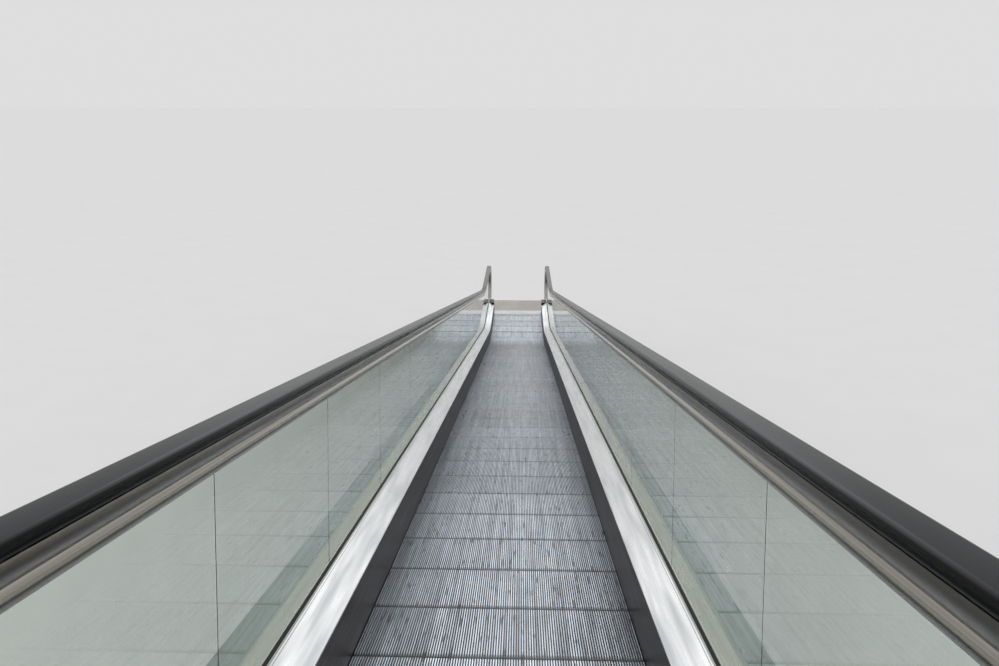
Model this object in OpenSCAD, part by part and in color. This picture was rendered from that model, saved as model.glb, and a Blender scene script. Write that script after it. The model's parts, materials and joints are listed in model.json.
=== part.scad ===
// Inclined moving walk with flat pallets, glass balustrades and a lattice truss.
// +Y runs down the incline, +X to the right of someone riding down, +Z up.
// The origin is the middle of the bearing face of the lower support angle.

/* [Travel] */
// Height from the lower floor to the upper floor
rise = 3700; // [3000:100:5500]
// Angle of the incline in degrees
incline = 12; // [10:0.5:12]
// Radius of the tread surface where it turns down from the upper landing
upper_bend_r = 6000; // [5000:250:6500]
// Radius of the tread surface where it turns level at the lower landing
lower_bend_r = 6000; // [5000:250:6500]
// Length from the upper bend's corner to the end of the truss
upper_end_l = 3700; // [3600:50:4200]
// Length from the lower bend's corner to the end of the truss
lower_end_l = 3200; // [3100:50:3600]
// Length from each bend's corner to the comb
comb_l = 2050; // [1900:50:2150]
// Length from the comb to the front of the handrail's end loop
newel_l = 620; // [600:10:680]

/* [Pallets] */
// Width of a pallet
pallet_w = 1000; // [800:50:1100]
// Distance from one pallet to the next
pallet_pitch = 400; // [400:1:420]
// How far the pallet band has run on from the upper end
band_shift = 40; // [0:10:300]
// Gap between neighbouring pallets
pallet_gap = 3; // [2:0.5:5]
// Thickness of the tread plate with its ribs
tread_t = 15; // [14:0.5:18]
// Width of a tread rib
rib_w = 4; // [3:0.2:5]
// Distance from one tread rib to the next
rib_pitch = 9; // [8.5:0.1:9.5]
// Depth of the grooves between the tread ribs
groove_d = 10; // [10:0.5:11]
// Depth of a pallet's end flanges under the tread surface
flange_d = 30; // [26:1:32]
// Thickness of the flanges and webs under a pallet
casting_t = 7; // [5:1:9]
// Depth of the webs under the tread surface
pallet_d = 60; // [56:1:64]
// Running gap between a pallet and the skirt beside it
skirt_gap = 4; // [3:0.5:5]
// Depth of the chain line under the tread surface
chain_e = 70; // [65:1:75]
// Radius of the chain line round the end sprockets
turn_r = 255; // [240:1:260]
// Diameter of a chain roller
roller_d = 75; // [65:1:80]
// Width of a chain roller
roller_w = 24; // [18:1:28]
// Height of the chain's link plates
chain_h = 35; // [25:1:45]
// Thickness of the chain band
chain_t = 12; // [8:1:14]

/* [Balustrade] */
// Height of the skirt's top edge over the treads
skirt_top = 208; // [190:1:220]
// Depth of the skirt's lower edge under the treads
skirt_low = 25; // [20:1:30]
// Thickness of the skirt sheet
skirt_t = 4; // [3:0.5:5]
// Thickness of the deck sheets
deck_t = 4; // [3:0.5:5]
// Width of the sloping inner deck
inner_deck_w = 100; // [80:1:120]
// Rise of the inner deck from the skirt to the glass
inner_deck_rise = 50; // [30:1:60]
// Width of the flat outer deck
outer_deck_w = 144; // [130:1:180]
// Width of the rail that clamps the glass
clamp_w = 32; // [28:1:36]
// Height of the glass clamp rail
clamp_h = 52; // [48:1:54]
// How far the clamp rail stands over the decks
clamp_proud = 2; // [1:0.5:4]
// Thickness of the glass
glass_t = 10; // [8:1:12]
// Depth of glass held in the clamp rail
glass_hold = 40; // [36:1:44]
// Joint between two glass panes
glass_joint = 4; // [3:0.5:6]
// Length of a pane that the incline is shared out in
glass_l = 1030; // [900:10:1200]
// Joint between two lengths of deck, skirt or clamp rail
trim_joint = 1; // [0.5:0.5:2]
// Joint between two lengths of handrail guide
guide_joint = 0.6; // [0.4:0.1:1]

/* [Handrail] */
// Height of the handrail's top over the treads
handrail_top = 985; // [900:5:1000]
// Width of the handrail
handrail_w = 80; // [76:1:84]
// Thickness of the handrail
handrail_h = 30; // [28:1:34]
// Outer radius of the handrail's end loop
newel_r = 415; // [405:1:420]
// Height of the handrail guide under the handrail
guide_h = 77; // [70:1:85]
// Running gap between the handrail and its guide
guide_gap = 0.3; // [0.2:0.1:0.5]

/* [Truss] */
// Depth of the truss's top edge under the treads
truss_top = 20; // [18:1:24]
// Depth of the truss's lower edge under the treads
truss_low = 880; // [850:10:950]
// Height and width of a chord
chord = 80; // [70:1:90]
// Width of the upright and slanting bars
web_w = 50; // [40:1:60]
// Thickness of the upright and slanting bars
web_t = 50; // [40:1:60]
// Length of a bay that the truss is shared out in
bay_l = 1250; // [1100:50:1500]
// Thickness of the bottom sheets
pan_t = 5; // [4:1:8]
// Thickness of the end plates
end_t = 12; // [8:1:16]

/* [Landings] */
// Height of the landing plates over the treads
floor_up = 14; // [12:1:18]
// Thickness of the landing plates
floor_t = 12; // [8:1:12]
// Length of a landing plate that each landing is shared out in
floor_plate_l = 480; // [300:20:700]
// Length of the sloping comb in front of the plate
comb_nose_l = 110; // [100:5:120]
// Length of a comb tooth in front of the comb
tooth_l = 45; // [30:1:50]
// Width of a comb tooth
tooth_w = 2.8; // [2:0.1:3]
// Depth of a comb tooth in its groove
tooth_d = 6; // [5:0.5:8]
// Width of the frame round the landing plates
frame_w = 30; // [20:1:40]
// Depth from the floor treads to the bearing face of the support angles
support_e = 200; // [160:5:260]
// Width of the bearing face
support_w = 150; // [120:5:200]
// Thickness of the support angles
support_t = 20; // [15:1:25]

/* [Hidden] */
$fn = 180;

// Stations along the tread surface, from the upper end of the truss down to the lower end.
deg = 180 / PI;
run_y = rise / tan(incline);
upper_tan = upper_bend_r * tan(incline / 2);
lower_tan = lower_bend_r * tan(incline / 2);
s_a = upper_end_l - upper_tan;
s_b = s_a + upper_bend_r * incline / deg;
s_c = s_b + run_y / cos(incline) - upper_tan - lower_tan;
s_d = s_c + lower_bend_r * incline / deg;
s_end = s_d + lower_end_l - lower_tan;
s_comb_up = upper_end_l - comb_l;
s_comb_lo = s_end - lower_end_l + comb_l;
s_loop_up = s_comb_up - newel_l + newel_r;
s_loop_lo = s_comb_lo + newel_l - newel_r;

// Heights and the places of the bends in the part's own frame.
z_lo = support_e;
z_up = z_lo + rise;
y_end_lo = -support_w / 2;
y_corner_lo = y_end_lo - lower_end_l;
y_corner_up = y_corner_lo - run_y;
y_start = y_corner_up - upper_end_l;
c_up = [y_start + s_a, z_up - upper_bend_r];
c_lo = [y_corner_lo + lower_tan, z_lo + lower_bend_r];
p_b = c_up + upper_bend_r * [sin(incline), cos(incline)];

// Widths counted from the middle.
skirt_x = pallet_w / 2 + skirt_gap;
deck_x = skirt_x + inner_deck_w;
glass_x = deck_x + clamp_w / 2;
outer_x = deck_x + clamp_w;
edge_x = outer_x + outer_deck_w;
chord_out = edge_x - 8;
chord_in = chord_out - chord;
web_in = chord_in + (chord - web_t) / 2;
seat_gap = 0.3;
bend_lap = 1;
bend_step = 0.05;

// Heights over the treads.
deck_top = skirt_top + inner_deck_rise + deck_t;
clamp_top = deck_top + clamp_proud;
clamp_low = clamp_top - clamp_h;
glass_low = clamp_top - glass_hold;
loop_e = handrail_top - newel_r;
guide_top = handrail_top - handrail_h;
guide_low = guide_top - guide_h;
glass_slot = 27;
glass_top = guide_low + glass_slot;

// The point at station s and height e over the treads, as [y, z].
function slope(s) =
    s <= s_a ? 0 :
    s < s_b ? (s - s_a) / upper_bend_r * deg :
    s <= s_c ? incline :
    s < s_d ? incline - (s - s_c) / lower_bend_r * deg : 0;
function along(t) = [cos(t), -sin(t)];
function normal(t) = [sin(t), cos(t)];
function at(s, e) =
    s <= s_a ? [y_start + s, z_up + e] :
    s < s_b ? c_up + (upper_bend_r + e) * normal(slope(s)) :
    s <= s_c ? p_b + (s - s_b) * along(incline) + e * normal(incline) :
    s < s_d ? c_lo - (lower_bend_r - e) * normal(slope(s)) :
    [y_end_lo - s_end + s, z_lo + e];
// The station of a point that lies a length along the line at height e.
function station(length, e) =
    length <= s_a ? length :
    length < s_b + e * incline / deg ? (length + e * s_a / upper_bend_r) / (1 + e / upper_bend_r) :
    length <= s_c + e * incline / deg ? length - e * incline / deg :
    length < s_d ? (length - e * incline / deg - e * s_c / lower_bend_r) / (1 - e / lower_bend_r) :
    length;
bend_steps = 6;
bend_stations = concat(
    [for (i = [0:bend_steps]) s_a + (s_b - s_a) * i / bend_steps],
    [for (i = [0:bend_steps]) s_c + (s_d - s_c) * i / bend_steps]
);
function stations(s1, s2) = concat([s1], [for (s = bend_stations) if (s > s1 + 1 && s < s2 - 1) s], [s2]);
function back(list) = [for (i = [len(list) - 1:-1:0]) list[i]];

// Bays, panes and pallets are shared out evenly.
bays = round(s_end / bay_l);
bay_stations = [for (i = [0:bays]) s_end * i / bays];
panes = round((s_c - s_b) / glass_l);
end_pane_up = (s_loop_up + s_a) / 2;
end_pane_lo = (s_loop_lo + s_d) / 2;
pane_joints = concat(
    [end_pane_up, s_a], [for (i = [0:panes]) s_b + (s_c - s_b) * i / panes], [s_d, end_pane_lo]
);
cap_l = 300;
cap_back = seat_gap;
s_trim_up = s_loop_up + cap_back + cap_l;
s_trim_lo = s_loop_lo - cap_back - cap_l;
trim_joints = concat(
    [s_trim_up, s_a], [for (i = [0:2:panes]) s_b + (s_c - s_b) * i / panes],
    panes % 2 == 1 ? [s_c] : [], [s_d, s_trim_lo]
);
s_turn_up = s_comb_up - 330;
s_turn_lo = s_comb_lo + 330;
turn_e = chain_e + turn_r;
return_e = chain_e + 2 * turn_r;
pallet_start = s_turn_up + band_shift;
pallet_count = floor((s_turn_lo - pallet_start) / pallet_pitch);
comb_pallets = 2;

// A flat outline in the side plane, pushed across from x1 to x2.
module across(x1, x2) {
    translate([x1, 0, 0]) rotate([90, 0, 90]) linear_extrude(x2 - x1) children();
}

// The side outline of a layer between two heights and two stations.
module layer(s1, s2, e1, e2) {
    line = stations(s1, s2);
    polygon(concat([for (s = line) at(s, e1)], [for (s = back(line)) at(s, e2)]));
}

// A straight bar in the side plane between two points.
module bar(p, q, w) {
    d = (q - p) / norm(q - p);
    n = [-d.y, d.x] * w / 2;
    polygon([p + n, q + n, q - n, p - n]);
}

// A point in the side plane is reached in whole millimetres and then the rest,
// so that stretches far from the origin still meet.
module put(p) {
    whole = [floor(p.x), floor(p.y)];
    translate([0, whole.x, whole.y]) translate([0, p.x - whole.x, p.y - whole.y]) children();
}

// Children stand at a station, their Y along the travel and Z away from the treads.
module place(s, e = 0) {
    put(at(s, e)) rotate([-slope(s), 0, 0]) children();
}

// A cross-section in X and height, turned about an axis in X through a point.
module turned(centre, start, angle) {
    put(centre) rotate([90, 0, 90]) rotate(start)
        rotate_extrude(angle = angle) children();
}

// A cross-section in X and height, carried along one stretch of the travel.
module carried(s1, s2, lap = 0) {
    middle = (s1 + s2) / 2;
    if (middle > s_a && middle < s_b)
        turned(c_up, 90 - slope(s2), slope(s2) - slope(s1))
            translate([upper_bend_r, 0]) rotate(-90) mirror([1, 0]) children();
    else if (middle > s_c && middle < s_d)
        turned(c_lo, 270 - slope(s1), slope(s1) - slope(s2))
            translate([lower_bend_r, 0]) rotate(90) children();
    else
        place(middle) translate([0, (s2 - s1) / 2 + lap, 0]) rotate([90, 0, 0])
            linear_extrude(s2 - s1 + 2 * lap) children();
}

// One piece through both bends: the first child is the section of the straights, a hair larger
// than the second, the section of the bends, which runs into it.
module carried_whole(s1, s2) {
    stops = [s1, s_a, s_b, s_c, s_d, s2];
    for (i = [0, 2, 4]) carried(stops[i], stops[i + 1], bend_lap) children(0);
    for (i = [1, 3]) carried(stops[i], stops[i + 1]) children(1);
}

// The same cross-section in separate lengths with a joint between them.
module carried_lengths(joints, gap) {
    for (i = [0:len(joints) - 2])
        carried(joints[i] + gap / 2, joints[i + 1] - gap / 2) children();
}

// The half loops of a handrail section round both newels.
module loops() {
    turned(at(s_loop_lo, loop_e), -90, 180)
        translate([-loop_e, 0]) rotate(-90) mirror([1, 0]) children();
    turned(at(s_loop_up, loop_e), 90, 180)
        translate([-loop_e, 0]) rotate(-90) mirror([1, 0]) children();
}

module both_sides() {
    children();
    mirror([1, 0, 0]) children();
}

// Truss

bearing_w = 120;
module truss_side() {
    across(chord_in, chord_out) {
        layer(end_t, s_end - end_t, -truss_low, -truss_low + chord);
        layer(end_t, s_end - end_t, -truss_top - chord, -truss_top);
    }
    across(web_in, web_in + web_t) {
        for (i = [1:bays - 1])
            bar(at(bay_stations[i], -truss_low + 1), at(bay_stations[i], -truss_top - 1), web_w);
        for (i = [0:bays - 1]) {
            up = i % 2 == 0;
            first = max(bay_stations[i], end_t + web_w / 2);
            last = min(bay_stations[i + 1], s_end - end_t - web_w / 2);
            bar(at(first, up ? chord / 2 - truss_low : -truss_top - chord / 2),
                at(last, up ? -truss_top - chord / 2 : chord / 2 - truss_low), web_w);
        }
        for (s = [s_turn_up, s_turn_lo])
            bar(at(s, -truss_low + 1), at(s, -truss_top - 1), bearing_w);
        bar(at(end_t + web_w / 2, -truss_low + 1), at(end_t + web_w / 2, -truss_top - 1), web_w);
        bar(at(s_end - end_t - web_w / 2, -truss_low + 1),
            at(s_end - end_t - web_w / 2, -truss_top - 1), web_w);
    }
}

module truss_right() {
    color("#5d6166") truss_side();
}

module truss_left() {
    color("#5d6166") mirror([1, 0, 0]) truss_side();
}

beam_w = 60;
mid_beam_e = 400;
module truss_cross_beams() {
    color("#5d6166") for (i = [1:bays - 1]) {
        s = bay_stations[i];
        across(-chord_in, chord_in)
            layer(s - beam_w / 2, s + beam_w / 2, -truss_low + 1, -truss_low + chord);
        if (s > s_turn_up + 700 && s < s_turn_lo - 700)
            across(-web_in, web_in)
                layer(s - beam_w / 2, s + beam_w / 2, -mid_beam_e, -mid_beam_e + beam_w);
    }
}

sheet_stops = concat([for (i = [0:2:bays]) bay_stations[i]], bays % 2 == 1 ? [s_end] : []);
module bottom_sheets() {
    color("#8d9196") for (i = [0:len(sheet_stops) - 2])
        across(-chord_out, chord_out)
            layer(sheet_stops[i] + trim_joint, sheet_stops[i + 1] - trim_joint,
                -truss_low - pan_t, -truss_low);
}

module end_plate(s1, s2) {
    color("#5d6166") across(-chord_out, chord_out)
        layer(s1, s2, -truss_low, -truss_top);
}

module lower_end_plate() {
    end_plate(s_end - end_t, s_end);
}

module upper_end_plate() {
    end_plate(0, end_t);
}

angle_leg = 150;
module support_angle(y_plate, side, z) {
    color("#4b4f54") put([y_plate, z]) across(-chord_out, chord_out)
        mirror([side < 0 ? 1 : 0, 0]) {
            square([support_w, support_t]);
            square([support_t, angle_leg]);
        }
}

module lower_support_angle() {
    support_angle(y_end_lo, 1, z_lo - support_e);
}

module upper_support_angle() {
    support_angle(y_start, -1, z_up - support_e);
}

// Tracks, chains and pallets

roller_r = roller_d / 2;
chain_x = skirt_x + skirt_t + 2;
roller_x = chain_x + chain_t + seat_gap;
track_x = roller_x + roller_w + 3;
track_t = 6;
track_web = 60;

module track_section(top) {
    translate([roller_x - 1, top - track_t]) square([track_x - roller_x + track_t + 1, track_t]);
    translate([track_x, top - track_web]) square([track_t, track_web]);
}

track_joints = concat(
    [s_turn_up, s_a, s_b], [for (s = bay_stations) if (s > s_b + bay_l && s < s_c - bay_l) s],
    [s_c, s_d, s_turn_lo]
);
module carrying_tracks() {
    color("#70757a") both_sides()
        carried_lengths(track_joints, trim_joint) track_section(-chain_e - roller_r);
}

module return_tracks() {
    color("#70757a") both_sides()
        carried_lengths(track_joints, trim_joint) track_section(-return_e - roller_r);
}

bracket_t = 8;
module track_brackets() {
    arm_x = track_x + track_t;
    color("#5d6166") both_sides() for (i = [1:bays - 1]) {
        s = bay_stations[i];
        if (s > s_turn_up + 50 && s < s_turn_lo - 50)
            for (e = [chain_e, return_e])
                across(arm_x, web_in)
                    layer(s - bracket_t / 2, s + bracket_t / 2,
                        -e - roller_r - track_web, -e - roller_r - track_t);
    }
}

// The tread ribs are shared out over the pallet's width.
ribs = round((pallet_w - rib_w) / rib_pitch) + 1;
rib_step = (pallet_w - rib_w) / (ribs - 1);
pallet_half = (pallet_pitch - pallet_gap) / 2;

// Side outline of a tread plate with a flange turned down at each end.
module flanged_outline(half, top) {
    in = half - casting_t;
    polygon([
        [-half, top], [-half, -flange_d], [-in, -flange_d], [-in, -tread_t],
        [in, -tread_t], [in, -flange_d], [half, -flange_d], [half, top]
    ]);
}

// Side outline of a web under the tread plate, with the boss that holds the axle.
axle_d = 24;
axle_back = 130;
boss_wall = 8;
web_slope_l = 60;
module web_outline(axle_y) {
    end = pallet_half - casting_t / 2;
    polygon([
        [-end, -tread_t + 1], [-end, -flange_d + 2], [-end + web_slope_l, -pallet_d],
        [end - web_slope_l, -pallet_d], [end, -flange_d + 2], [end, -tread_t + 1]
    ]);
    translate([axle_y, -chain_e]) circle(axle_d / 2 + boss_wall);
}

web_places = [-0.36, 0, 0.36];
module pallet_frame(axle_y) {
    for (place = web_places)
        across(place * pallet_w - casting_t / 2, place * pallet_w + casting_t / 2) web_outline(axle_y);
    translate([0, axle_y, -chain_e]) rotate([0, 90, 0])
        cylinder(d = axle_d, h = 2 * (chain_x - seat_gap), center = true);
}

// A pallet with a plain top, for the many whose ribs are too many to draw.
module pallet(axle_y = -axle_back) {
    across(-pallet_w / 2, pallet_w / 2) flanged_outline(pallet_half, 0);
    pallet_frame(axle_y);
}

// A pallet with its tread ribs, for the comb to run in.
plate_in = 0.5;
module ribbed_pallet() {
    rotate([90, 0, 0]) linear_extrude(2 * pallet_half, center = true) polygon(concat(
        [[-pallet_w / 2, -tread_t + 2]],
        [for (i = [0:ribs - 1]) let (x = -pallet_w / 2 + i * rib_step)
            each concat(
                i > 0 ? [[x, -groove_d]] : [], [[x, 0], [x + rib_w, 0]],
                i < ribs - 1 ? [[x + rib_w, -groove_d]] : []
            )],
        [[pallet_w / 2, -tread_t + 2]]
    ));
    across(-pallet_w / 2 + plate_in, pallet_w / 2 - plate_in)
        flanged_outline(pallet_half - plate_in, -groove_d - 1);
    pallet_frame(-axle_back);
}

function pallet_s(i) = pallet_start + (i + 0.5) * pallet_pitch;

// Places of the pallets: on the carrying run, upside down on the return run, and round the ends.
module on_carrying_run(first, last) {
    for (i = [first:last]) place(pallet_s(i)) children();
}

module on_return_run() {
    e = -return_e - chain_e;
    for (i = [0:pallet_count - 1])
        place(station(pallet_s(i), e), e) rotate([180, 0, 0]) children();
}

module round_the_ends() {
    for (end = [[s_turn_lo, 1], [s_turn_up, -1]])
        place(end[0], -turn_e) rotate([-90 * end[1], 0, 0])
            translate([0, 0, turn_r + chain_e]) children();
}

module pallets() {
    color("#85888c") on_carrying_run(comb_pallets, pallet_count - 1 - comb_pallets) pallet();
}

module lower_comb_pallets() {
    color("#85888c") on_carrying_run(pallet_count - comb_pallets, pallet_count - 1) ribbed_pallet();
}

module upper_comb_pallets() {
    color("#85888c") on_carrying_run(0, comb_pallets - 1) ribbed_pallet();
}

module return_pallets() {
    color("#77797c") {
        on_return_run() pallet();
        round_the_ends() pallet(0);
    }
}

module chain() {
    color("#3c3e40") across(chain_x, chain_x + chain_t) {
        layer(s_turn_up, s_turn_lo, -chain_e - chain_h / 2, -chain_e + chain_h / 2);
        layer(s_turn_up, s_turn_lo, -return_e - chain_h / 2, -return_e + chain_h / 2);
        for (s = [s_turn_up, s_turn_lo])
            intersection() {
                translate(at(s, -turn_e)) difference() {
                    circle(turn_r + chain_h / 2);
                    circle(turn_r - chain_h / 2);
                }
                translate(at(s, -turn_e) + [s == s_turn_up ? -2 * turn_r : 0, -2 * turn_r])
                    square([2 * turn_r, 4 * turn_r]);
            }
    }
}

module chain_right() {
    chain();
}

module chain_left() {
    mirror([1, 0, 0]) chain();
}

module roller_pair(axle_y = -axle_back) {
    both_sides() translate([roller_x, axle_y, -chain_e]) rotate([0, 90, 0])
        cylinder(d = roller_d, h = roller_w);
}

module chain_rollers() {
    color("#2c2d2f") {
        on_carrying_run(0, pallet_count - 1) roller_pair();
        on_return_run() roller_pair();
        round_the_ends() roller_pair(0);
    }
}

shaft_r = 45;
wheel_t = 10;
module turn_shaft(s) {
    place(s, -turn_e) rotate([0, 90, 0]) {
        cylinder(r = shaft_r, h = 2 * (web_in - seat_gap), center = true);
        for (side = [-1, 1])
            translate([0, 0, side * (chain_x + chain_t / 2)])
                cylinder(r = turn_r - chain_h / 2 - seat_gap, h = wheel_t, center = true);
    }
}

module lower_turn_shaft() {
    color("#6b6f73") turn_shaft(s_turn_lo);
}

module upper_drive_shaft() {
    color("#6b6f73") turn_shaft(s_turn_up);
}

drive_s = 500;
module drive_unit() {
    color("#3f5a4a") place(drive_s, -truss_low) {
        translate([-260, -180, 0]) cube([520, 360, 120]);
        translate([-150, -150, 120]) cube([300, 300, 320]);
        translate([0, 0, 440]) cylinder(d = 240, h = 300);
        translate([-60, 0, 280]) rotate([0, -90, 0]) cylinder(d = 150, h = 220);
    }
}

// Landings

plate_x = skirt_x - seat_gap;
cap_front = newel_l - newel_r - cap_back;
// Where the comb's segments meet the plate that carries them, from the comb's edge.
comb_seat = 60;
comb_tip = 3;
comb_segments = 5;
function tooth_x(j) = -pallet_w / 2 + rib_w / 2 + (j + 0.5) * rib_step;

module comb_tooth(low) {
    polygon([
        [-comb_nose_l - tooth_l, 1 - tooth_d], [-comb_nose_l - tooth_l + 3, -tooth_d],
        [-comb_nose_l + 10, -tooth_d], [-comb_nose_l + 10, low + comb_tip - 1],
        [-comb_nose_l, low + comb_tip - 0.5]
    ]);
}

// One segment of the comb, with its teeth in the grooves of the treads.
module comb_segment(k, low, seat_high) {
    teeth = ribs - 1;
    first = round(k * teeth / comb_segments);
    last = round((k + 1) * teeth / comb_segments) - 1;
    x1 = k == 0 ? -plate_x : tooth_x(first - 0.5) + seat_gap / 2;
    x2 = k == comb_segments - 1 ? plate_x : tooth_x(last + 0.5) - seat_gap / 2;
    across(x1, x2) polygon([
        [-comb_seat - seat_gap, low], [-comb_seat - seat_gap, seat_high],
        [-comb_nose_l, low + comb_tip], [-comb_nose_l, low]
    ]);
    for (j = [first:last]) across(tooth_x(j) - tooth_w / 2, tooth_x(j) + tooth_w / 2) comb_tooth(low);
}

module comb_plate(s, side) {
    low = floor_up - floor_t;
    seat_high = floor_up - (floor_t - comb_tip) * comb_seat / comb_nose_l;
    color("#9a9c9e") put(at(s, 0)) mirror([0, side < 0 ? 1 : 0, 0]) {
        across(-plate_x, plate_x) polygon([
            [cap_front, low], [cap_front, floor_up], [0, floor_up],
            [-comb_seat, seat_high], [-comb_seat, low]
        ]);
        for (k = [0:comb_segments - 1]) comb_segment(k, low, seat_high);
    }
}

module lower_comb_plate() {
    comb_plate(s_comb_lo, 1);
}

module upper_comb_plate() {
    comb_plate(s_comb_up, -1);
}

module floor_plates(s, side, last) {
    front = cap_front + seat_gap;
    count = round((last - frame_w - front) / floor_plate_l);
    step = (last - frame_w - front) / count;
    color("#8f8a82") put(at(s, floor_up - floor_t)) mirror([0, side < 0 ? 1 : 0, 0])
        for (i = [0:count - 1])
            translate([-edge_x + frame_w + seat_gap, front + i * step, 0])
                cube([2 * (edge_x - frame_w - seat_gap), step - seat_gap, floor_t]);
}

module lower_floor_plates() {
    floor_plates(s_comb_lo, 1, s_end - s_comb_lo);
}

module upper_floor_plates() {
    floor_plates(s_comb_up, -1, s_comb_up);
}

module landing_frame(s, side, last) {
    low = -truss_top;
    color("#b9bbbd") put(at(s, low)) mirror([0, side < 0 ? 1 : 0, 0])
        difference() {
            translate([-edge_x, cap_front + seat_gap, 0])
                cube([2 * edge_x, last - cap_front - seat_gap, floor_up - low]);
            translate([-edge_x + frame_w, cap_front - 10, -1])
                cube([2 * (edge_x - frame_w), last - frame_w - cap_front + 10, floor_up - low + 2]);
        }
}

module lower_landing_frame() {
    landing_frame(s_comb_lo, 1, s_end - s_comb_lo);
}

module upper_landing_frame() {
    landing_frame(s_comb_up, -1, s_comb_up);
}

// Balustrades

module skirt() {
    for (i = [0:len(trim_joints) - 2])
        across(skirt_x, skirt_x + skirt_t)
            layer(trim_joints[i] + trim_joint / 2, trim_joints[i + 1] - trim_joint / 2,
                -skirt_low, skirt_top);
}

module skirt_right() {
    color("#2b2523") skirt();
}

module skirt_left() {
    color("#2b2523") mirror([1, 0, 0]) skirt();
}

module inner_deck() {
    carried_lengths(trim_joints, trim_joint)
        polygon([
            [skirt_x, skirt_top], [deck_x - seat_gap, skirt_top + inner_deck_rise],
            [deck_x - seat_gap, deck_top], [skirt_x, skirt_top + deck_t]
        ]);
}

module inner_deck_right() {
    color("#c9cccf") inner_deck();
}

module inner_deck_left() {
    color("#c9cccf") mirror([1, 0, 0]) inner_deck();
}

lip_low = 30;
module outer_deck() {
    carried_lengths(trim_joints, trim_joint)
        polygon([
            [outer_x + seat_gap, deck_top - deck_t], [edge_x - deck_t, deck_top - deck_t],
            [edge_x - deck_t, -lip_low], [edge_x, -lip_low],
            [edge_x, deck_top], [outer_x + seat_gap, deck_top]
        ]);
}

module outer_deck_right() {
    color("#b5b9bb") outer_deck();
}

module outer_deck_left() {
    color("#b5b9bb") mirror([1, 0, 0]) outer_deck();
}

clamp_joints = concat([s_loop_up + cap_back, s_a], [for (i = [1:len(trim_joints) - 3]) trim_joints[i + 1]],
    [s_loop_lo - cap_back]);
glass_half = glass_t / 2 + seat_gap;
module glass_clamp() {
    carried_lengths(clamp_joints, trim_joint)
        difference() {
            translate([deck_x, clamp_low]) square([clamp_w, clamp_h]);
            translate([glass_x - glass_half, glass_low]) square([2 * glass_half, glass_hold + 1]);
        }
}

module glass_clamp_right() {
    color("#d6d2c6") glass_clamp();
}

module glass_clamp_left() {
    color("#d6d2c6") mirror([1, 0, 0]) glass_clamp();
}

loop_glass_r = glass_top - loop_e - seat_gap;
pane_steps = 24;
// The end pane, from its joint to the newel's round end; side is 1 at the lower end.
module end_pane(joint_s, loop_s, side) {
    centre = at(loop_s, loop_e);
    cap_s = loop_s - side * cap_back;
    polygon(concat(
        [at(joint_s, glass_top - seat_gap), at(joint_s, glass_low), at(cap_s, glass_low)],
        [for (i = [0:pane_steps]) centre + loop_glass_r * [
            side * cos(180 * i / pane_steps - 90), sin(180 * i / pane_steps - 90)
        ]]
    ));
}

module glass() {
    across(glass_x - glass_t / 2, glass_x + glass_t / 2) {
        for (i = [0:len(pane_joints) - 2])
            layer(pane_joints[i] + glass_joint / 2, pane_joints[i + 1] - glass_joint / 2,
                glass_low, glass_top - seat_gap);
        end_pane(end_pane_lo + glass_joint / 2, s_loop_lo, 1);
        end_pane(end_pane_up - glass_joint / 2, s_loop_up, -1);
    }
}

module glass_right() {
    color("#a9bdb4", 0.35) glass();
}

module glass_left() {
    color("#a9bdb4", 0.35) mirror([1, 0, 0]) glass();
}

// Cross-section of the handrail guide: a round bulge, a crease and a flaring band,
// with the flange that the handrail runs on.
mouth_w = 46;
flange_w = 60;
flange_h = 9;
lip_h = 8;
guide_side = [
    [9, 0], [16, 1.5], [22, 4.5], [27, 9], [30, 14.5], [31.5, 21], [31, 27.5], [28.5, 33.5],
    [25, 38], [27.5, 42], [30.5, 48], [32.5, 55], [33.7, 63]
];
module guide_section() {
    x = glass_x;
    neck = mouth_w / 2 - guide_gap;
    flange = flange_w / 2;
    top = guide_top + lip_h;
    half = concat(
        [for (p = guide_side) [p.x, guide_low + p.y * guide_h / 77]],
        [[34, guide_top - guide_gap], [neck, guide_top - guide_gap], [neck, top + guide_gap],
        [flange, top + guide_gap], [flange, top + flange_h]]
    );
    difference() {
        polygon(concat([for (p = half) [x + p.x, p.y]], [for (p = back(half)) [x - p.x, p.y]]));
        translate([x - glass_half, guide_low - 1]) square([2 * glass_half, glass_slot + 1]);
    }
}

guide_joints = concat([s_loop_up], [for (i = [1:len(trim_joints) - 2]) trim_joints[i]], [s_loop_lo]);
module handrail_guide() {
    carried_lengths(guide_joints, guide_joint) guide_section();
    loops() guide_section();
}

module handrail_guide_right() {
    color("#a8a6a1") handrail_guide();
}

module handrail_guide_left() {
    color("#a8a6a1") mirror([1, 0, 0]) handrail_guide();
}

// Cross-section of the handrail: a rounded bar with a T-shaped slot underneath.
rail_round = 13;
round_steps = 4;
function corner(x, y, start) = [
    for (i = [0:round_steps]) [x, y] + rail_round * [cos(start + i * 90 / round_steps),
        sin(start + i * 90 / round_steps)]
];
module handrail_section(grow = 0) {
    x = glass_x;
    side = handrail_w / 2 - rail_round + grow;
    low = guide_top + rail_round - grow;
    high = handrail_top - rail_round + grow;
    mouth = mouth_w / 2 - grow;
    flange = flange_w / 2 + guide_gap - grow;
    slot_low = guide_top + lip_h + grow;
    slot_high = guide_top + lip_h + flange_h + guide_gap - grow;
    polygon(concat(
        [[x + mouth, guide_top - grow]], corner(x + side, low, -90), corner(x + side, high, 0),
        corner(x - side, high, 90), corner(x - side, low, 180),
        [[x - mouth, guide_top - grow], [x - mouth, slot_low], [x - flange, slot_low],
        [x - flange, slot_high], [x + flange, slot_high], [x + flange, slot_low], [x + mouth, slot_low]]
    ));
}

module upside_down() {
    translate([0, 2 * loop_e]) mirror([0, 1]) children();
}

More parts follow.
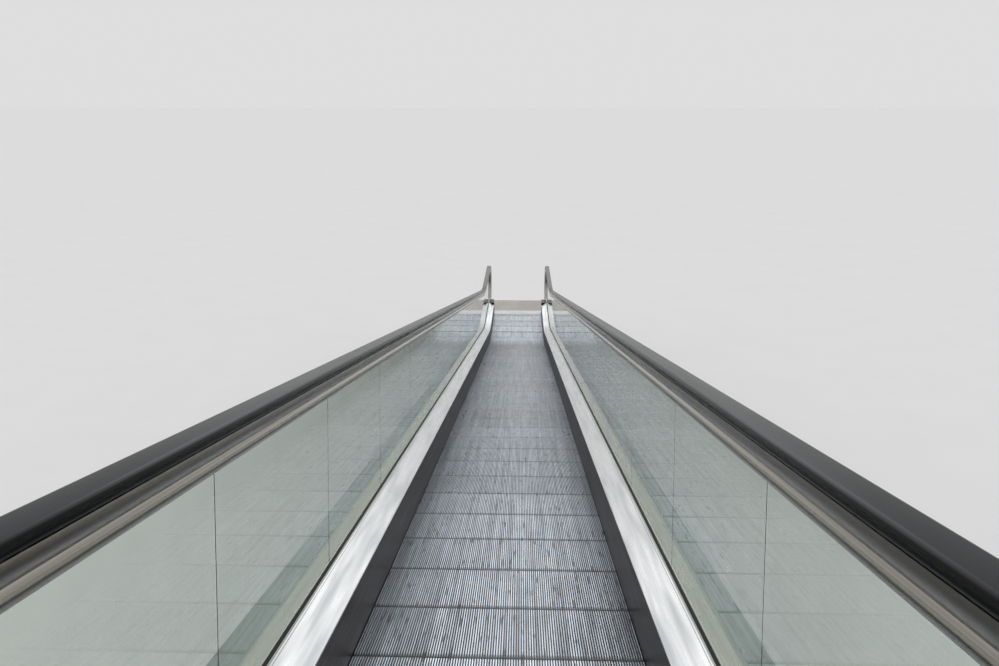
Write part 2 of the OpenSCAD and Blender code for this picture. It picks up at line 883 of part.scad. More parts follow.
module handrail() {
    carried_whole(s_loop_up, s_loop_lo) {
        handrail_section(bend_step);
        handrail_section();
    }
    carried_whole(s_loop_up, s_loop_lo) {
        upside_down() handrail_section(bend_step);
        upside_down() handrail_section();
    }
    loops() handrail_section();
}

module handrail_right() {
    color("#141414") handrail();
}

module handrail_left() {
    color("#141414") mirror([1, 0, 0]) handrail();
}

// A cap that closes the balustrade's foot and takes the handrail in.
cap_t = 4;
inlet_gap = 3;
cap_round = 40;
// Plan of a cap with its two front corners rounded.
module cap_plan(x1, x2, y1, y2, r) {
    translate([x1, y1]) square([x2 - x1, y2 - r - y1]);
    translate([x1 + r, y1]) square([x2 - x1 - 2 * r, y2 - y1]);
    for (x = [x1 + r, x2 - r]) translate([x, y2 - r]) circle(r);
}

module inlet_cap(s, side) {
    low = -truss_top;
    high = deck_top;
    rail_low = 2 * loop_e - handrail_top;
    put(at(s, 0)) mirror([0, side < 0 ? 1 : 0, 0]) difference() {
        translate([0, 0, low]) linear_extrude(high - low)
            cap_plan(skirt_x, edge_x, -cap_l + seat_gap, 0, cap_round);
        translate([0, 0, low - 1]) linear_extrude(high - low + 1 - cap_t)
            cap_plan(skirt_x + cap_t, edge_x - cap_t, -cap_l - 1, -cap_t, cap_round - cap_t);
        translate([deck_x - seat_gap, -cap_l - 1, clamp_low - seat_gap])
            cube([clamp_w + 2 * seat_gap, cap_l + 2, clamp_h + clamp_proud]);
        translate([glass_x - handrail_w / 2 - inlet_gap, -cap_t - 1, rail_low - inlet_gap])
            cube([handrail_w + 2 * inlet_gap, cap_t + 2, high - rail_low - cap_t]);
    }
}

module lower_inlet_caps() {
    color("#2e3033") both_sides() inlet_cap(s_loop_lo - cap_back, 1);
}

module upper_inlet_caps() {
    color("#2e3033") both_sides() inlet_cap(s_loop_up + cap_back, -1);
}

// Plates that carry the decks, the clamp rail and the skirt on the truss.
bracket_arm = 33;
module deck_brackets() {
    rail_in = 2 * loop_e - guide_top;
    arm_low = max(clamp_low - bracket_arm, rail_in + 4);
    for (i = [0:len(trim_joints) - 2]) {
        length = trim_joints[i + 1] - trim_joints[i];
        for (part = length > bay_l ? [0.25, 0.75] : [0.5]) {
            s = trim_joints[i] + part * length;
            place(s) translate([0, bracket_t / 2, 0]) rotate([90, 0, 0]) linear_extrude(bracket_t)
                polygon([
                    [skirt_x + skirt_t, arm_low], [skirt_x + skirt_t, skirt_top - 6],
                    [skirt_x + skirt_t + 30, skirt_top + 8], [deck_x - 10, clamp_low],
                    [outer_x + 4, clamp_low], [outer_x + 4, deck_top - deck_t],
                    [edge_x - deck_t - seat_gap, deck_top - deck_t],
                    [edge_x - deck_t - seat_gap, -truss_top], [chord_in, -truss_top],
                    [chord_in, arm_low]
                ]);
        }
    }
}

module deck_brackets_right() {
    color("#70757a") deck_brackets();
}

module deck_brackets_left() {
    color("#70757a") mirror([1, 0, 0]) deck_brackets();
}

truss_left();
truss_right();
truss_cross_beams();
bottom_sheets();
lower_end_plate();
upper_end_plate();
lower_support_angle();
upper_support_angle();
carrying_tracks();
return_tracks();
track_brackets();
pallets();
lower_comb_pallets();
upper_comb_pallets();
return_pallets();
chain_left();
chain_right();
chain_rollers();
lower_turn_shaft();
upper_drive_shaft();
drive_unit();
lower_comb_plate();
upper_comb_plate();
lower_floor_plates();
upper_floor_plates();
lower_landing_frame();
upper_landing_frame();
skirt_left();
skirt_right();
inner_deck_left();
inner_deck_right();
outer_deck_left();
outer_deck_right();
glass_clamp_left();
glass_clamp_right();
glass_left();
glass_right();
handrail_guide_left();
handrail_guide_right();
handrail_left();
handrail_right();
lower_inlet_caps();
upper_inlet_caps();
deck_brackets_left();
deck_brackets_right();
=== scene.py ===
"""An inclined moving walk: flat ribbed pallets between glass balustrades, on a lattice truss.

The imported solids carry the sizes. This file gives them their finishes and adds the small parts
that are too many or too fine for the solids: tread ribs, chain links, screws, seals and bolts.
All lengths are metres. +Y runs down the incline, +X to the right of someone riding down, +Z up.
"""
import json
import math

import bmesh
import bpy
import numpy as np
from mathutils import Matrix, Vector


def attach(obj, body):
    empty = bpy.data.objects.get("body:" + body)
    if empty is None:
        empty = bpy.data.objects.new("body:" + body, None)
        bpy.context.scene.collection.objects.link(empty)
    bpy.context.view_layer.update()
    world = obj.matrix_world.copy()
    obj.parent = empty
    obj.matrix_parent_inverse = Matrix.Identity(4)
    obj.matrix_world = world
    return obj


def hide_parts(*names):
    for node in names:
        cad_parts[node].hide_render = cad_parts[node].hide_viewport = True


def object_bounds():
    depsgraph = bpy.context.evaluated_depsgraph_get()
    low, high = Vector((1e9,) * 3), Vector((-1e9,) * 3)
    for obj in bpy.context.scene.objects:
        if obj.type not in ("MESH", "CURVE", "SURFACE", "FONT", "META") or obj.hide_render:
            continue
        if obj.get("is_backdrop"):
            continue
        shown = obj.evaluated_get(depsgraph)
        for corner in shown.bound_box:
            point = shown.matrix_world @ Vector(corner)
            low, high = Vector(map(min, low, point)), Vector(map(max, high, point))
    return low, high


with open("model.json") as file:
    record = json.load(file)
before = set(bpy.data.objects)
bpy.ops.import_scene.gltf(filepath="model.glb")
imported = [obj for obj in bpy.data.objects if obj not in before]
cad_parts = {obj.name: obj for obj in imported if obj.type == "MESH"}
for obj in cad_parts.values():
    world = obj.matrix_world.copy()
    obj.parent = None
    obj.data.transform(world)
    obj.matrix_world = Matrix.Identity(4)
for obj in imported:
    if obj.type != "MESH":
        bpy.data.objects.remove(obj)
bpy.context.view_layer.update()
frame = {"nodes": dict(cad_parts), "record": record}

bl_info = {
    "name": "Inclined moving walk",
    "version": (1, 0, 0),
    "blender": (4, 5, 0),
    "location": "View3D > Sidebar > Walk",
    "description": "Finishes and fine parts of an inclined moving walk",
    "category": "Object",
}

MM = 0.001
# Small parts reach this far into what carries them, so that no two faces lie in one plane.
SUNK = 0.5 * MM

# The side line of the treads, as in the solids.
RISE = 3.7
INCLINE = math.radians(12)
BEND_R = 6.0
UPPER_END = 3.7
LOWER_END = 3.2
COMB_FROM_CORNER = 2.05
NEWEL_FROM_COMB = 0.62
NEWEL_R = 0.415
SUPPORT_E = 0.2
SUPPORT_W = 0.15
BEND_TANGENT = BEND_R * math.tan(INCLINE / 2)
RUN_Y = RISE / math.tan(INCLINE)
S_A = UPPER_END - BEND_TANGENT
S_B = S_A + BEND_R * INCLINE
S_C = S_B + RUN_Y / math.cos(INCLINE) - 2 * BEND_TANGENT
S_D = S_C + BEND_R * INCLINE
S_END = S_D + LOWER_END - BEND_TANGENT
S_COMB_UP = UPPER_END - COMB_FROM_CORNER
S_COMB_LO = S_END - LOWER_END + COMB_FROM_CORNER
S_LOOP_UP = S_COMB_UP - NEWEL_FROM_COMB + NEWEL_R
S_LOOP_LO = S_COMB_LO + NEWEL_FROM_COMB - NEWEL_R
Y_END = -SUPPORT_W / 2
Y_CORNER_LO = Y_END - LOWER_END
Y_START = Y_CORNER_LO - RUN_Y - UPPER_END
Z_LO = SUPPORT_E
Z_UP = Z_LO + RISE
UPPER_CENTRE = Vector((0, Y_START + S_A, Z_UP - BEND_R))
LOWER_CENTRE = Vector((0, Y_CORNER_LO + BEND_TANGENT, Z_LO + BEND_R))

# Pallets and chains.
PALLET_W = 1.0
PALLET_PITCH = 0.4
PALLET_GAP = 0.003
PALLET_D = 0.06
TREAD_T = 0.015
FLANGE_D = 0.03
CASTING_T = 0.007
BOSS_R = 0.02
BAND_SHIFT = 0.04
TURN_FROM_COMB = 0.33
CHAIN_E = 0.07
TURN_R = 0.255
RETURN_E = CHAIN_E + 2 * TURN_R
TURN_E = CHAIN_E + TURN_R
S_TURN_UP = S_COMB_UP - TURN_FROM_COMB
S_TURN_LO = S_COMB_LO + TURN_FROM_COMB
PALLET_START = S_TURN_UP + BAND_SHIFT
PALLET_COUNT = int((S_TURN_LO - PALLET_START) / PALLET_PITCH)
COMB_PALLETS = 2
WEB_FROM_MIDDLE = 0.36
AXLE_BACK = 0.13
AXLE_R = 0.012
CHAIN_X = 0.51
CHAIN_T = 0.012
CHAIN_H = 0.035
LINK_T = 0.0025
LINK_GAP = 0.0003
PIN_R = 0.008
BUSH_R = 0.011

# Balustrades.
DECK_X = 0.604
GLASS_X = 0.62
GLASS_T = 0.01
OUTER_X = 0.636
EDGE_X = 0.78
CLAMP_TOP = 0.264
GUIDE_LOW = 0.878
RAIL_TOP = 0.985
RAIL_LOW = 0.955
RAIL_W = 0.08
RAIL_ROUND = 0.013
MOUTH_W = 0.046
FLANGE_W = 0.06
FLANGE_H = 0.009
LIP_H = 0.008
RUNNING_GAP = 0.0003
RAIL_REACH = 0.045
LOOP_E = 0.57
RAIL_IN_LOW = 2 * LOOP_E - RAIL_TOP
GLASS_JOINT = 0.004
GLASS_L = 1.03

# Truss, landings and combs.
TRUSS_TOP = 0.02
TRUSS_LOW = 0.88
CHORD = 0.08
WEB_IN = 0.707
WEB_T = 0.05
BAY_L = 1.25
BAYS = round(S_END / BAY_L)
FLOOR_UP = 0.014
FLOOR_PLATE_L = 0.48
FRAME_W = 0.03
COMB_NOSE_L = 0.11
COMB_FALL = 0.009
COMB_SEGMENTS = 5
SCREW_BACK = 0.076
SCREW_ASIDE = 0.07
GUSSET_T = 0.006
GUSSET_HALF = 0.11
GUSSET_H = 0.12

# Drive, from the place where its bed stands.
DRIVE_S = 0.5
BED_TOP = 0.12
GEARBOX_HALF = 0.15
GEARBOX_TOP = 0.44
COVER_T = 0.006
COVER_Z = 0.28
MOTOR_R = 0.12
MOTOR_FLANGE_T = 0.016
FINS = 36


def slope(s):
    """Slope of the treads at a station, in radians."""
    if s <= S_A:
        return 0.0
    if s < S_B:
        return (s - S_A) / BEND_R
    if s <= S_C:
        return INCLINE
    if s < S_D:
        return INCLINE - (s - S_C) / BEND_R
    return 0.0


def at(s, e):
    """The point at a station and a height over the treads."""
    t = slope(s)
    normal = Vector((0, math.sin(t), math.cos(t)))
    if s <= S_A:
        return Vector((0, Y_START + s, Z_UP + e))
    if s < S_B:
        return UPPER_CENTRE + (BEND_R + e) * normal
    if s <= S_C:
        start = UPPER_CENTRE + BEND_R * normal
        return start + (s - S_B) * Vector((0, math.cos(t), -math.sin(t))) + e * normal
    if s < S_D:
        return LOWER_CENTRE - (BEND_R - e) * normal
    return Vector((0, Y_END - S_END + s, Z_LO + e))


def station(length, e):
    """The station that lies a length along the line at height e."""
    if length <= S_A:
        return length
    if length < S_B + e * INCLINE:
        return (length + e * S_A / BEND_R) / (1 + e / BEND_R)
    if length <= S_C + e * INCLINE:
        return length - e * INCLINE
    if length < S_D:
        return (length - e * INCLINE - e * S_C / BEND_R) / (1 - e / BEND_R)
    return length


def place(s, e=0.0, x=0.0):
    """Moves a part made at the origin to a station, Y along the travel and Z away from the treads."""
    return (Matrix.Translation(at(s, e) + Vector((x, 0, 0)))
            @ Matrix.Rotation(-slope(s), 4, "X"))


def turn_x(degrees):
    """A turn about the X axis."""
    return Matrix.Rotation(math.radians(degrees), 4, "X")


def turn_y(degrees):
    """A turn about the Y axis."""
    return Matrix.Rotation(math.radians(degrees), 4, "Y")


def turn_z(degrees):
    """A turn about the Z axis."""
    return Matrix.Rotation(math.radians(degrees), 4, "Z")


def shift(x, y, z):
    """A move by x, y and z."""
    return Matrix.Translation((x, y, z))


def mirrored(places):
    """The same places on both sides of the walk."""
    flip = Matrix.Scale(-1, 4, (1, 0, 0))
    return list(places) + [flip @ p for p in places]


def bend_stations(s1, s2, steps=10):
    """Stations from s1 to s2 with steps through each bend."""
    inner = [a + (b - a) * i / steps for a, b in ((S_A, S_B), (S_C, S_D)) for i in range(steps + 1)]
    return [s1] + [s for s in inner if s1 + MM < s < s2 - MM] + [s2]


def travel_of(mesh):
    """For each vertex, x, the station and the height over the treads; round a newel, the way round."""
    points = np.zeros(len(mesh.vertices) * 3)
    mesh.vertices.foreach_get("co", points)
    x, y, z = points.reshape(-1, 3).T
    up, low = np.array(UPPER_CENTRE)[1:], np.array(LOWER_CENTRE)[1:]
    turn_up = np.arctan2(y - up[0], z - up[1])
    turn_low = np.arctan2(low[0] - y, low[1] - z)
    start = at(S_B, 0)
    ahead, over = y - start.y, z - start.z
    cases = [y <= up[0], (turn_up > 0) & (turn_up < INCLINE),
             y >= low[0], (turn_low > 0) & (turn_low < INCLINE)]
    s = np.select(cases, [y - Y_START, S_A + BEND_R * turn_up, S_END + y - Y_END,
                          S_C + BEND_R * (INCLINE - turn_low)],
                  S_B + ahead * math.cos(INCLINE) - over * math.sin(INCLINE))
    e = np.select(cases, [z - Z_UP, np.hypot(y - up[0], z - up[1]) - BEND_R, z - Z_LO,
                          BEND_R - np.hypot(y - low[0], z - low[1])],
                  ahead * math.sin(INCLINE) + over * math.cos(INCLINE))
    # Only what lies in the handrail's width goes round the newels.
    in_rail = np.abs(np.abs(x) - GLASS_X) < RAIL_REACH
    for end, side in ((S_LOOP_LO, 1), (S_LOOP_UP, -1)):
        ahead, over = side * (s - end), e - LOOP_E
        round_it = (ahead > 0) & in_rail
        way = end + side * NEWEL_R * np.arctan2(ahead, over)
        s, e = np.where(round_it, way, s), np.where(round_it, LOOP_E + np.hypot(ahead, over), e)
    return np.stack((x, s, e), axis=1)


def write_travel(mesh):
    """Keeps the travel coordinates on the mesh, for finishes whose grain follows the walk."""
    attribute = mesh.attributes.new("travel", "FLOAT_VECTOR", "POINT")
    attribute.data.foreach_set("vector", travel_of(mesh).astype(np.float32).ravel())


# Colours and materials

def srgb(code, alpha=None):
    """Turns a hex colour into linear red, green and blue, with an alpha where one is given."""
    values = [int(code[i:i + 2], 16) / 255 for i in (1, 3, 5)]
    linear = [v / 12.92 if v <= 0.04045 else ((v + 0.055) / 1.055) ** 2.4 for v in values]
    return tuple(linear) if alpha is None else tuple(linear) + (alpha,)


def add(tree, kind, inputs=None, **settings):
    """Adds a node with its settings, values and links."""
    node = tree.nodes.new(kind)
    for key, value in settings.items():
        setattr(node, key, value)
    for key, value in (inputs or {}).items():
        if isinstance(value, bpy.types.NodeSocket):
            tree.links.new(value, node.inputs[key])
        else:
            node.inputs[key].default_value = value
    return node


def stored(tree, name, output="Fac"):
    """What the mesh keeps under a name."""
    return add(tree, "ShaderNodeAttribute", attribute_name=name).outputs[output]


def maths(tree, operation, *values):
    """The result of an operation on numbers."""
    return add(tree, "ShaderNodeMath", dict(enumerate(values)), operation=operation).outputs[0]


def blended(tree, factor, low, high):
    """A colour between two others."""
    return add(tree, "ShaderNodeMix", {"Factor": factor, "A": low, "B": high},
               data_type="RGBA").outputs["Result"]


def new_material(name):
    """An empty material and its node tree."""
    material = bpy.data.materials.new(name)
    material.use_nodes = True
    material.node_tree.nodes.clear()
    return material, material.node_tree


def pattern(tree, size_mm, stretch=(1, 1, 1), detail=3.0, along=0):
    """Noise whose grain has a size in millimetres; stretch makes the grain longer along an axis,
    and along makes it that many times longer in the walk's direction."""
    if along:
        where, stretch = stored(tree, "travel", "Vector"), (1, along, 1)
    else:
        where = add(tree, "ShaderNodeTexCoord").outputs["Object"]
    mapping = add(tree, "ShaderNodeMapping", {"Vector": where, "Scale": [1 / s for s in stretch]})
    return add(tree, "ShaderNodeTexNoise",
               {"Vector": mapping.outputs[0], "Scale": 1000 / size_mm, "Detail": detail}).outputs["Fac"]


def mixed(tree, factor, low, high, ends=(0.35, 0.65)):
    """A colour that goes from low to high as the factor passes between the two ends."""
    ramp = add(tree, "ShaderNodeValToRGB", {"Fac": factor})
    ramp.color_ramp.elements[0].position, ramp.color_ramp.elements[1].position = ends
    ramp.color_ramp.elements[0].color = (*low, 1)
    ramp.color_ramp.elements[1].color = (*high, 1)
    return ramp.outputs["Color"]


def shaded(material, inputs):
    """Ends a material with its shader."""
    tree = material.node_tree
    shader = add(tree, "ShaderNodeBsdfPrincipled", inputs)
    add(tree, "ShaderNodeOutputMaterial", {"Surface": shader.outputs[0]})
    return material


def ranged(tree, value, low, high, start=0.3, end=0.7, **settings):
    """A number that goes from low to high as the value goes from start to end."""
    return add(tree, "ShaderNodeMapRange", {"Value": value, "From Min": start, "From Max": end,
                                            "To Min": low, "To Max": high}, **settings).outputs[0]


def from_middle(tree):
    """Distance of the surface from the walk's centre plane."""
    where = stored(tree, "travel", "Vector")
    return maths(tree, "ABSOLUTE", add(tree, "ShaderNodeSeparateXYZ", {"Vector": where}).outputs["X"])


def surface(name, low, high, grain_mm, roughness, stretch=(1, 1, 1), along=0, bump_mm=0.0,
            soil=None, soil_mm=400, **constants):
    """A finish from two tones, the grain that mixes them, a roughness range and soiling in patches."""
    material, tree = new_material(name)
    grain = pattern(tree, grain_mm, stretch, along=along)
    colour = mixed(tree, grain, srgb(low), srgb(high))
    if soil:
        patches = pattern(tree, soil_mm, detail=6)
        colour = blended(tree, ranged(tree, patches, 0.0, 0.55), colour, srgb(soil, 1))
    inputs = {"Base Color": colour, "Roughness": ranged(tree, grain, *roughness)}
    if bump_mm:
        bump = {"Height": grain, "Distance": bump_mm * MM, "Strength": 0.5}
        inputs["Normal"] = add(tree, "ShaderNodeBump", bump).outputs[0]
    inputs.update({key.replace("_", " "): value for key, value in constants.items()})
    return shaded(material, inputs)


def make_materials(colours):
    """The finishes by material slot, each named for the real material and how its surface was made."""
    return {
        # Box sections sprayed with grey machine enamel: dull, with dust lying in patches.
        "truss_steel": surface("sprayed_grey_enamel", "#5c6166", "#656a70", 3, (0.45, 0.6),
                               bump_mm=0.1, soil="#6e6a61"),
        # Hot-dip galvanised sheet: spangle of about 12 mm, half dull.
        "sheet_steel": surface("galvanised_sheet", "#868b8f", "#a3a8ab", 12, (0.35, 0.55),
                               Metallic=0.9, soil="#5b5850"),
        # Rolled and zinc-plated profile: fine lines from the rollers along its length.
        "track_steel": surface("zinc_plated_rolled_steel", "#777c80", "#9fa4a6", 2, (0.3, 0.5),
                               along=40, Metallic=1.0, soil="#4a463e"),
        # Oiled steel plates: dark and glossy, with grease that catches dust.
        "chain_steel": surface("oiled_steel", "#2c2b29", "#4a4844", 8, (0.25, 0.5), Metallic=0.8,
                               soil="#191714", soil_mm=60),
        # Moulded polyurethane: dull near-black tyres with rubbed faces.
        "roller_plastic": surface("moulded_polyurethane", "#1f1f21", "#2c2c2e", 5, (0.45, 0.6),
                                  bump_mm=0.05),
        # Turned steel: fine rings, bright.
        "shaft_steel": surface("turned_steel", "#7c8083", "#9a9da0", 1.5, (0.25, 0.4),
                               stretch=(0.2, 1, 1), Metallic=1.0),
        # Cast housing in green machine enamel, orange-peel surface.
        "drive_paint": surface("green_machine_enamel", "#35523f", "#3f5f4a", 4, (0.35, 0.5),
                               bump_mm=0.2, soil="#2b2f28"),
        # Primed rolled steel angle, matt dark grey.
        "support_steel": surface("primed_rolled_steel", "#414549", "#4c5054", 4, (0.55, 0.7),
                                 bump_mm=0.1, soil="#5a4f45"),
        "deck_stainless": make_deck(),
        "outer_deck_stainless": make_outer_deck(),
        # Steel with a dark baked coating: low sheen, brown-black, rubbed along the travel.
        "skirt_paint": surface("dark_coated_sheet", "#2b1e18", "#40302a", 5, (0.32, 0.44),
                               along=120, soil="#1d1410", Specular_IOR_Level=0.35),
        # Extruded aluminium anodised a pale champagne, with die lines of 1.5 mm along it.
        "clamp_aluminium": surface("champagne_anodised_aluminium", "#c9c5b8", "#d8d4c8", 1.5,
                                   (0.3, 0.42), along=200, Metallic=0.6),
        # Drawn stainless profile, satin: fine drawing lines along it, drawn as 8 mm so that they show.
        "guide_stainless": surface("satin_drawn_stainless", "#a8a299", "#aba59c", 8, (0.22, 0.24),
                                   along=400, Metallic=1.0),
        # Moulded rubber polished by hands: black with a clear highlight.
        "handrail_rubber": surface("polished_black_rubber", "#080808", "#0c0c0d", 30, (0.24, 0.28),
                                   along=20, Specular_IOR_Level=0.09),
        # Extruded rubber seal, matt black.
        "seal": surface("extruded_black_rubber", "#121212", "#1c1c1c", 3, (0.6, 0.75), bump_mm=0.05),
        # Moulded ABS inlet cap, fine spark-eroded texture.
        "cap_plastic": surface("moulded_black_abs", "#17181a", "#222326", 1.5, (0.4, 0.5),
                               bump_mm=0.06),
        # Die-cast comb, tumbled and worn bright by feet.
        "comb_aluminium": surface("die_cast_comb_aluminium", "#a3a4a5", "#b1b1b0", 3, (0.32, 0.42),
                                  stretch=(1, 14, 1), Metallic=0.85, soil="#8a8780", soil_mm=250),
        # Rolled aluminium landing plate, walked dull and brownish.
        "floor_aluminium": surface("walked_landing_aluminium", "#857f76", "#9b958b", 10, (0.35, 0.5),
                                   stretch=(1, 6, 1), Metallic=0.8, soil="#6b645a"),
        # Brushed stainless angle round the landing.
        "frame_steel": surface("brushed_stainless_angle", "#a9abab", "#c2c4c3", 1.5, (0.25, 0.4),
                               stretch=(40, 1, 1), Metallic=1.0),
        # Zinc-plated screws and bolts.
        "bolt": surface("zinc_plated_bolt", "#8d9092", "#abaeaf", 3, (0.3, 0.45), Metallic=1.0),
        "pallet_aluminium": make_tread(colours),
        "balustrade_glass": make_glass(colours),
    }


def make_deck():
    """Stainless sheet brushed along the walk: lines of 0.4 mm drawn as 4 mm, and the long soft
    bands, 20 to 50 mm wide, that hands and cloths leave on it."""
    material, tree = new_material("brushed_stainless_sheet")
    lines = pattern(tree, 4, along=250)
    bands = pattern(tree, 36, detail=2, along=16)
    # A grey line painted along the fold 7 mm inside the outer edge is painted shade of the crease.
    fold_x, fold_half = DECK_X - 7 * MM, 0.9 * MM
    fold_shade_line = maths(tree, "COMPARE", from_middle(tree), fold_x, fold_half)
    sheet = mixed(tree, bands, srgb("#bfc0c0"), srgb("#dedddb"))
    brushed = blended(tree, ranged(tree, lines, 0.0, 0.25), sheet, srgb("#adafae", 1))
    # The grey of the fold line is painted shade.
    colour = blended(tree, fold_shade_line, brushed, srgb("#77797a", 1))
    return shaded(material, {"Base Color": colour, "Metallic": 0.8,
                             "Roughness": ranged(tree, bands, 0.36, 0.24)})


def make_outer_deck():
    """Ground stainless sheet with a pale champagne strip of extruded aluminium, 52 mm wide, next to
    the glass."""
    material, tree = new_material("ground_stainless_and_champagne_strip")
    strip_edge = OUTER_X + 52 * MM
    sheet = ranged(tree, from_middle(tree), 0, 1, strip_edge - MM, strip_edge + MM)
    lines = pattern(tree, 5, along=160)
    patches = pattern(tree, 420, detail=5)
    strip = mixed(tree, lines, srgb("#c3bfb1"), srgb("#d0cdc1"))
    ground = mixed(tree, lines, srgb("#9ba29b"), srgb("#adb3ac"))
    dusty = blended(tree, ranged(tree, patches, 0.0, 0.4), ground, srgb("#959a94", 1))
    return shaded(material, {"Base Color": blended(tree, sheet, strip, dusty), "Metallic": 0.6,
                             "Roughness": ranged(tree, lines, 0.4, 0.52)})


def make_tread(colours):
    """Die-cast aluminium treads: rib tops worn bright, the grooves and sloped rib ends darkened with dirt
    and painted shade, each pallet a little different."""
    material, tree = new_material("worn_die_cast_aluminium")
    dull, dirt = (*colours.tread_dark, 1), (*colours.groove_dirt_and_shade, 1)
    height, shade = stored(tree, "rib_height"), stored(tree, "pallet_shade")
    # Wear runs along the ribs: streaks about one rib wide and over a metre long.
    streaks = pattern(tree, 16, detail=5, along=90)
    scuffs = pattern(tree, 60, detail=6, along=4)
    # Dirt packed between two or three ribs shows as dark dashes 5 to 15 cm long.
    packed = pattern(tree, 13, detail=2, along=11)
    dashes = mixed(tree, packed, (0, 0, 0), (0.8, 0.8, 0.8), (0.6, 0.7))
    bright = mixed(tree, streaks, colours.tread_dark, colours.tread_light, (0.3, 0.6))
    scuffed = blended(tree, ranged(tree, scuffs, 0.0, 0.3), bright, dull)
    dashed = blended(tree, dashes, scuffed, dirt)
    toned = add(tree, "ShaderNodeHueSaturation", {"Color": dashed, "Value": shade}).outputs["Color"]
    # Down the grooves and the sloped rib ends the colour goes over to the groove colour: dirt and painted
    # shade in the recesses.
    raised = ranged(tree, height, 0, 1, 0.3, 0.9)
    return shaded(material, {"Base Color": blended(tree, raised, dirt, toned), "Metallic": 0.85,
                             "Specular IOR Level": 0.25,
                             "Roughness": ranged(tree, scuffs, 0.26, 0.38)})


def make_glass(colours):
    """Clear toughened float glass: smooth, its iron giving a grey-green tint."""
    material, tree = new_material("toughened_float_glass")
    smears = pattern(tree, 160, detail=4)
    tint = mixed(tree, smears, colours.glass, [v * 0.96 for v in colours.glass])
    return shaded(material, {"Base Color": tint, "Roughness": 0.0, "IOR": 1.5,
                             "Transmission Weight": 1.0})


# Making pieces

# The finishes by material slot, filled by the first operator.
FINISHES = {}


def finished(name, bm, slot, smooth_angle=None, replaces=(), finish=None):
    """Turns a bmesh into a piece that rides on the walk."""
    mesh = to_mesh(bm, name)
    if mesh.has_custom_normals:
        # A solid's mesh carries its own flat shading, which a merged copy of it no longer fits.
        mesh.attributes.remove(mesh.attributes["custom_normal"])
    return piece_from(name, mesh, slot, smooth_angle, replaces, finish)


def piece_from(name, mesh, slot, smooth_angle=None, replaces=(), finish=None):
    """Makes a piece of a mesh that is already in place, in its slot's finish or in one of its own."""
    if not mesh.polygons:
        raise RuntimeError(name + " has no faces")
    mesh.materials.clear()
    mesh.materials.append(FINISHES[finish or slot])
    if smooth_angle:
        mesh.shade_smooth()
        mesh.set_sharp_from_angle(angle=math.radians(smooth_angle))
    piece = bpy.data.objects.new(name, mesh)
    bpy.context.scene.collection.objects.link(piece)
    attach(piece, "root")
    if replaces:
        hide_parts(*replaces)
    return piece


def broken(bm, edges, width, **settings):
    """Breaks edges with a narrow round bevel."""
    return bmesh.ops.bevel(bm, geom=edges, offset=width, segments=2, profile=0.5, affect="EDGES",
                           material=-1, **settings)


def smooth_copy(name, node, slot, angle, bevel):
    """Stands in for a CAD node with the same shape, merged and shaded smooth, its long edges broken."""
    bm = bmesh.new()
    bm.from_mesh(frame["nodes"][node].data)
    bmesh.ops.remove_doubles(bm, verts=bm.verts, dist=0.01 * MM)
    if bevel:
        bmesh.ops.dissolve_limit(bm, angle_limit=math.radians(0.2), verts=bm.verts, edges=bm.edges)
        sharp = [e for e in bm.edges if len(e.link_faces) == 2
                 and abs(e.calc_face_angle(0)) > math.radians(25)]
        broken(bm, sharp, bevel, clamp_overlap=True)
    write_travel(finished(name, bm, slot, angle, (node,)).data)


def box(bm, x, y, z, where, bevel=0.0):
    """A block between low and high corners in x, y and z."""
    size = Matrix.Diagonal((x[1] - x[0], y[1] - y[0], z[1] - z[0], 1))
    middle = shift((x[0] + x[1]) / 2, (y[0] + y[1]) / 2, (z[0] + z[1]) / 2)
    made = bmesh.ops.create_cube(bm, size=1, matrix=middle @ size)
    if bevel:
        edges = dict.fromkeys(e for v in made["verts"] for e in v.link_edges)
        made = broken(bm, list(edges), bevel)
    bmesh.ops.transform(bm, matrix=where, verts=made["verts"])


def rod(bm, radius, length, where, segments):
    """A round or many-sided rod along Z, standing on the origin of its place."""
    bmesh.ops.create_cone(bm, cap_ends=True, cap_tris=False, segments=segments, radius1=radius,
                          radius2=radius, depth=length, matrix=where @ shift(0, 0, length / 2))


def to_mesh(bm, name):
    """Turns a bmesh into a mesh, its faces outwards."""
    bmesh.ops.recalc_face_normals(bm, faces=bm.faces)
    mesh = bpy.data.meshes.new(name)
    bm.to_mesh(mesh)
    bm.free()
    return mesh


def repeated(unit, places):
    """One mesh of the same small mesh at many places."""
    bm = bmesh.new()
    for where in places:
        copy = unit.copy()
        copy.transform(where)
        if where.determinant() < 0:
            copy.flip_normals()
        bm.from_mesh(copy)
        bpy.data.meshes.remove(copy)
    mesh = bpy.data.meshes.new(unit.name + "_all")
    bm.to_mesh(mesh)
    bm.free()
    return mesh


def many(name, unit, places, slot, smooth_angle=None, replaces=(), finish=None):
    """A piece of the same small mesh at many places."""
    mesh = repeated(unit, places)
    bpy.data.meshes.remove(unit)
    return piece_from(name, mesh, slot, smooth_angle, replaces, finish)


def carried(bm, face, move, first=False):
    """Extrudes a face by a move and gives the new one; the first of a row keeps the old face too."""
    made = bmesh.ops.extrude_face_region(bm, geom=[face], use_keep_orig=first)
    face = next(g for g in made["geom"] if isinstance(g, bmesh.types.BMFace))
    bmesh.ops.transform(bm, matrix=move, verts=face.verts)
    return face


def swept(bm, outline, frames, x=0.0):
    """Carries a closed outline in x and height from frame to frame, and gives its two end faces."""
    verts = [bm.verts.new(frames[0] @ Vector((x + aside, 0, e))) for aside, e in outline]
    first = face = bm.faces.new(verts)
    for before, after in zip(frames, frames[1:]):
        face = carried(bm, face, after @ before.inverted(), face is first)
    return first, face


# Pallets

RIBS = 112
RIB_W = 0.004
RIB_DEPTH = 0.010
RIB_END = 0.015
RIB_END_DROP = 0.006


def pallet_stations():
    """Stations of the pallets, from the upper end."""
    return [PALLET_START + (i + 0.5) * PALLET_PITCH for i in range(PALLET_COUNT)]


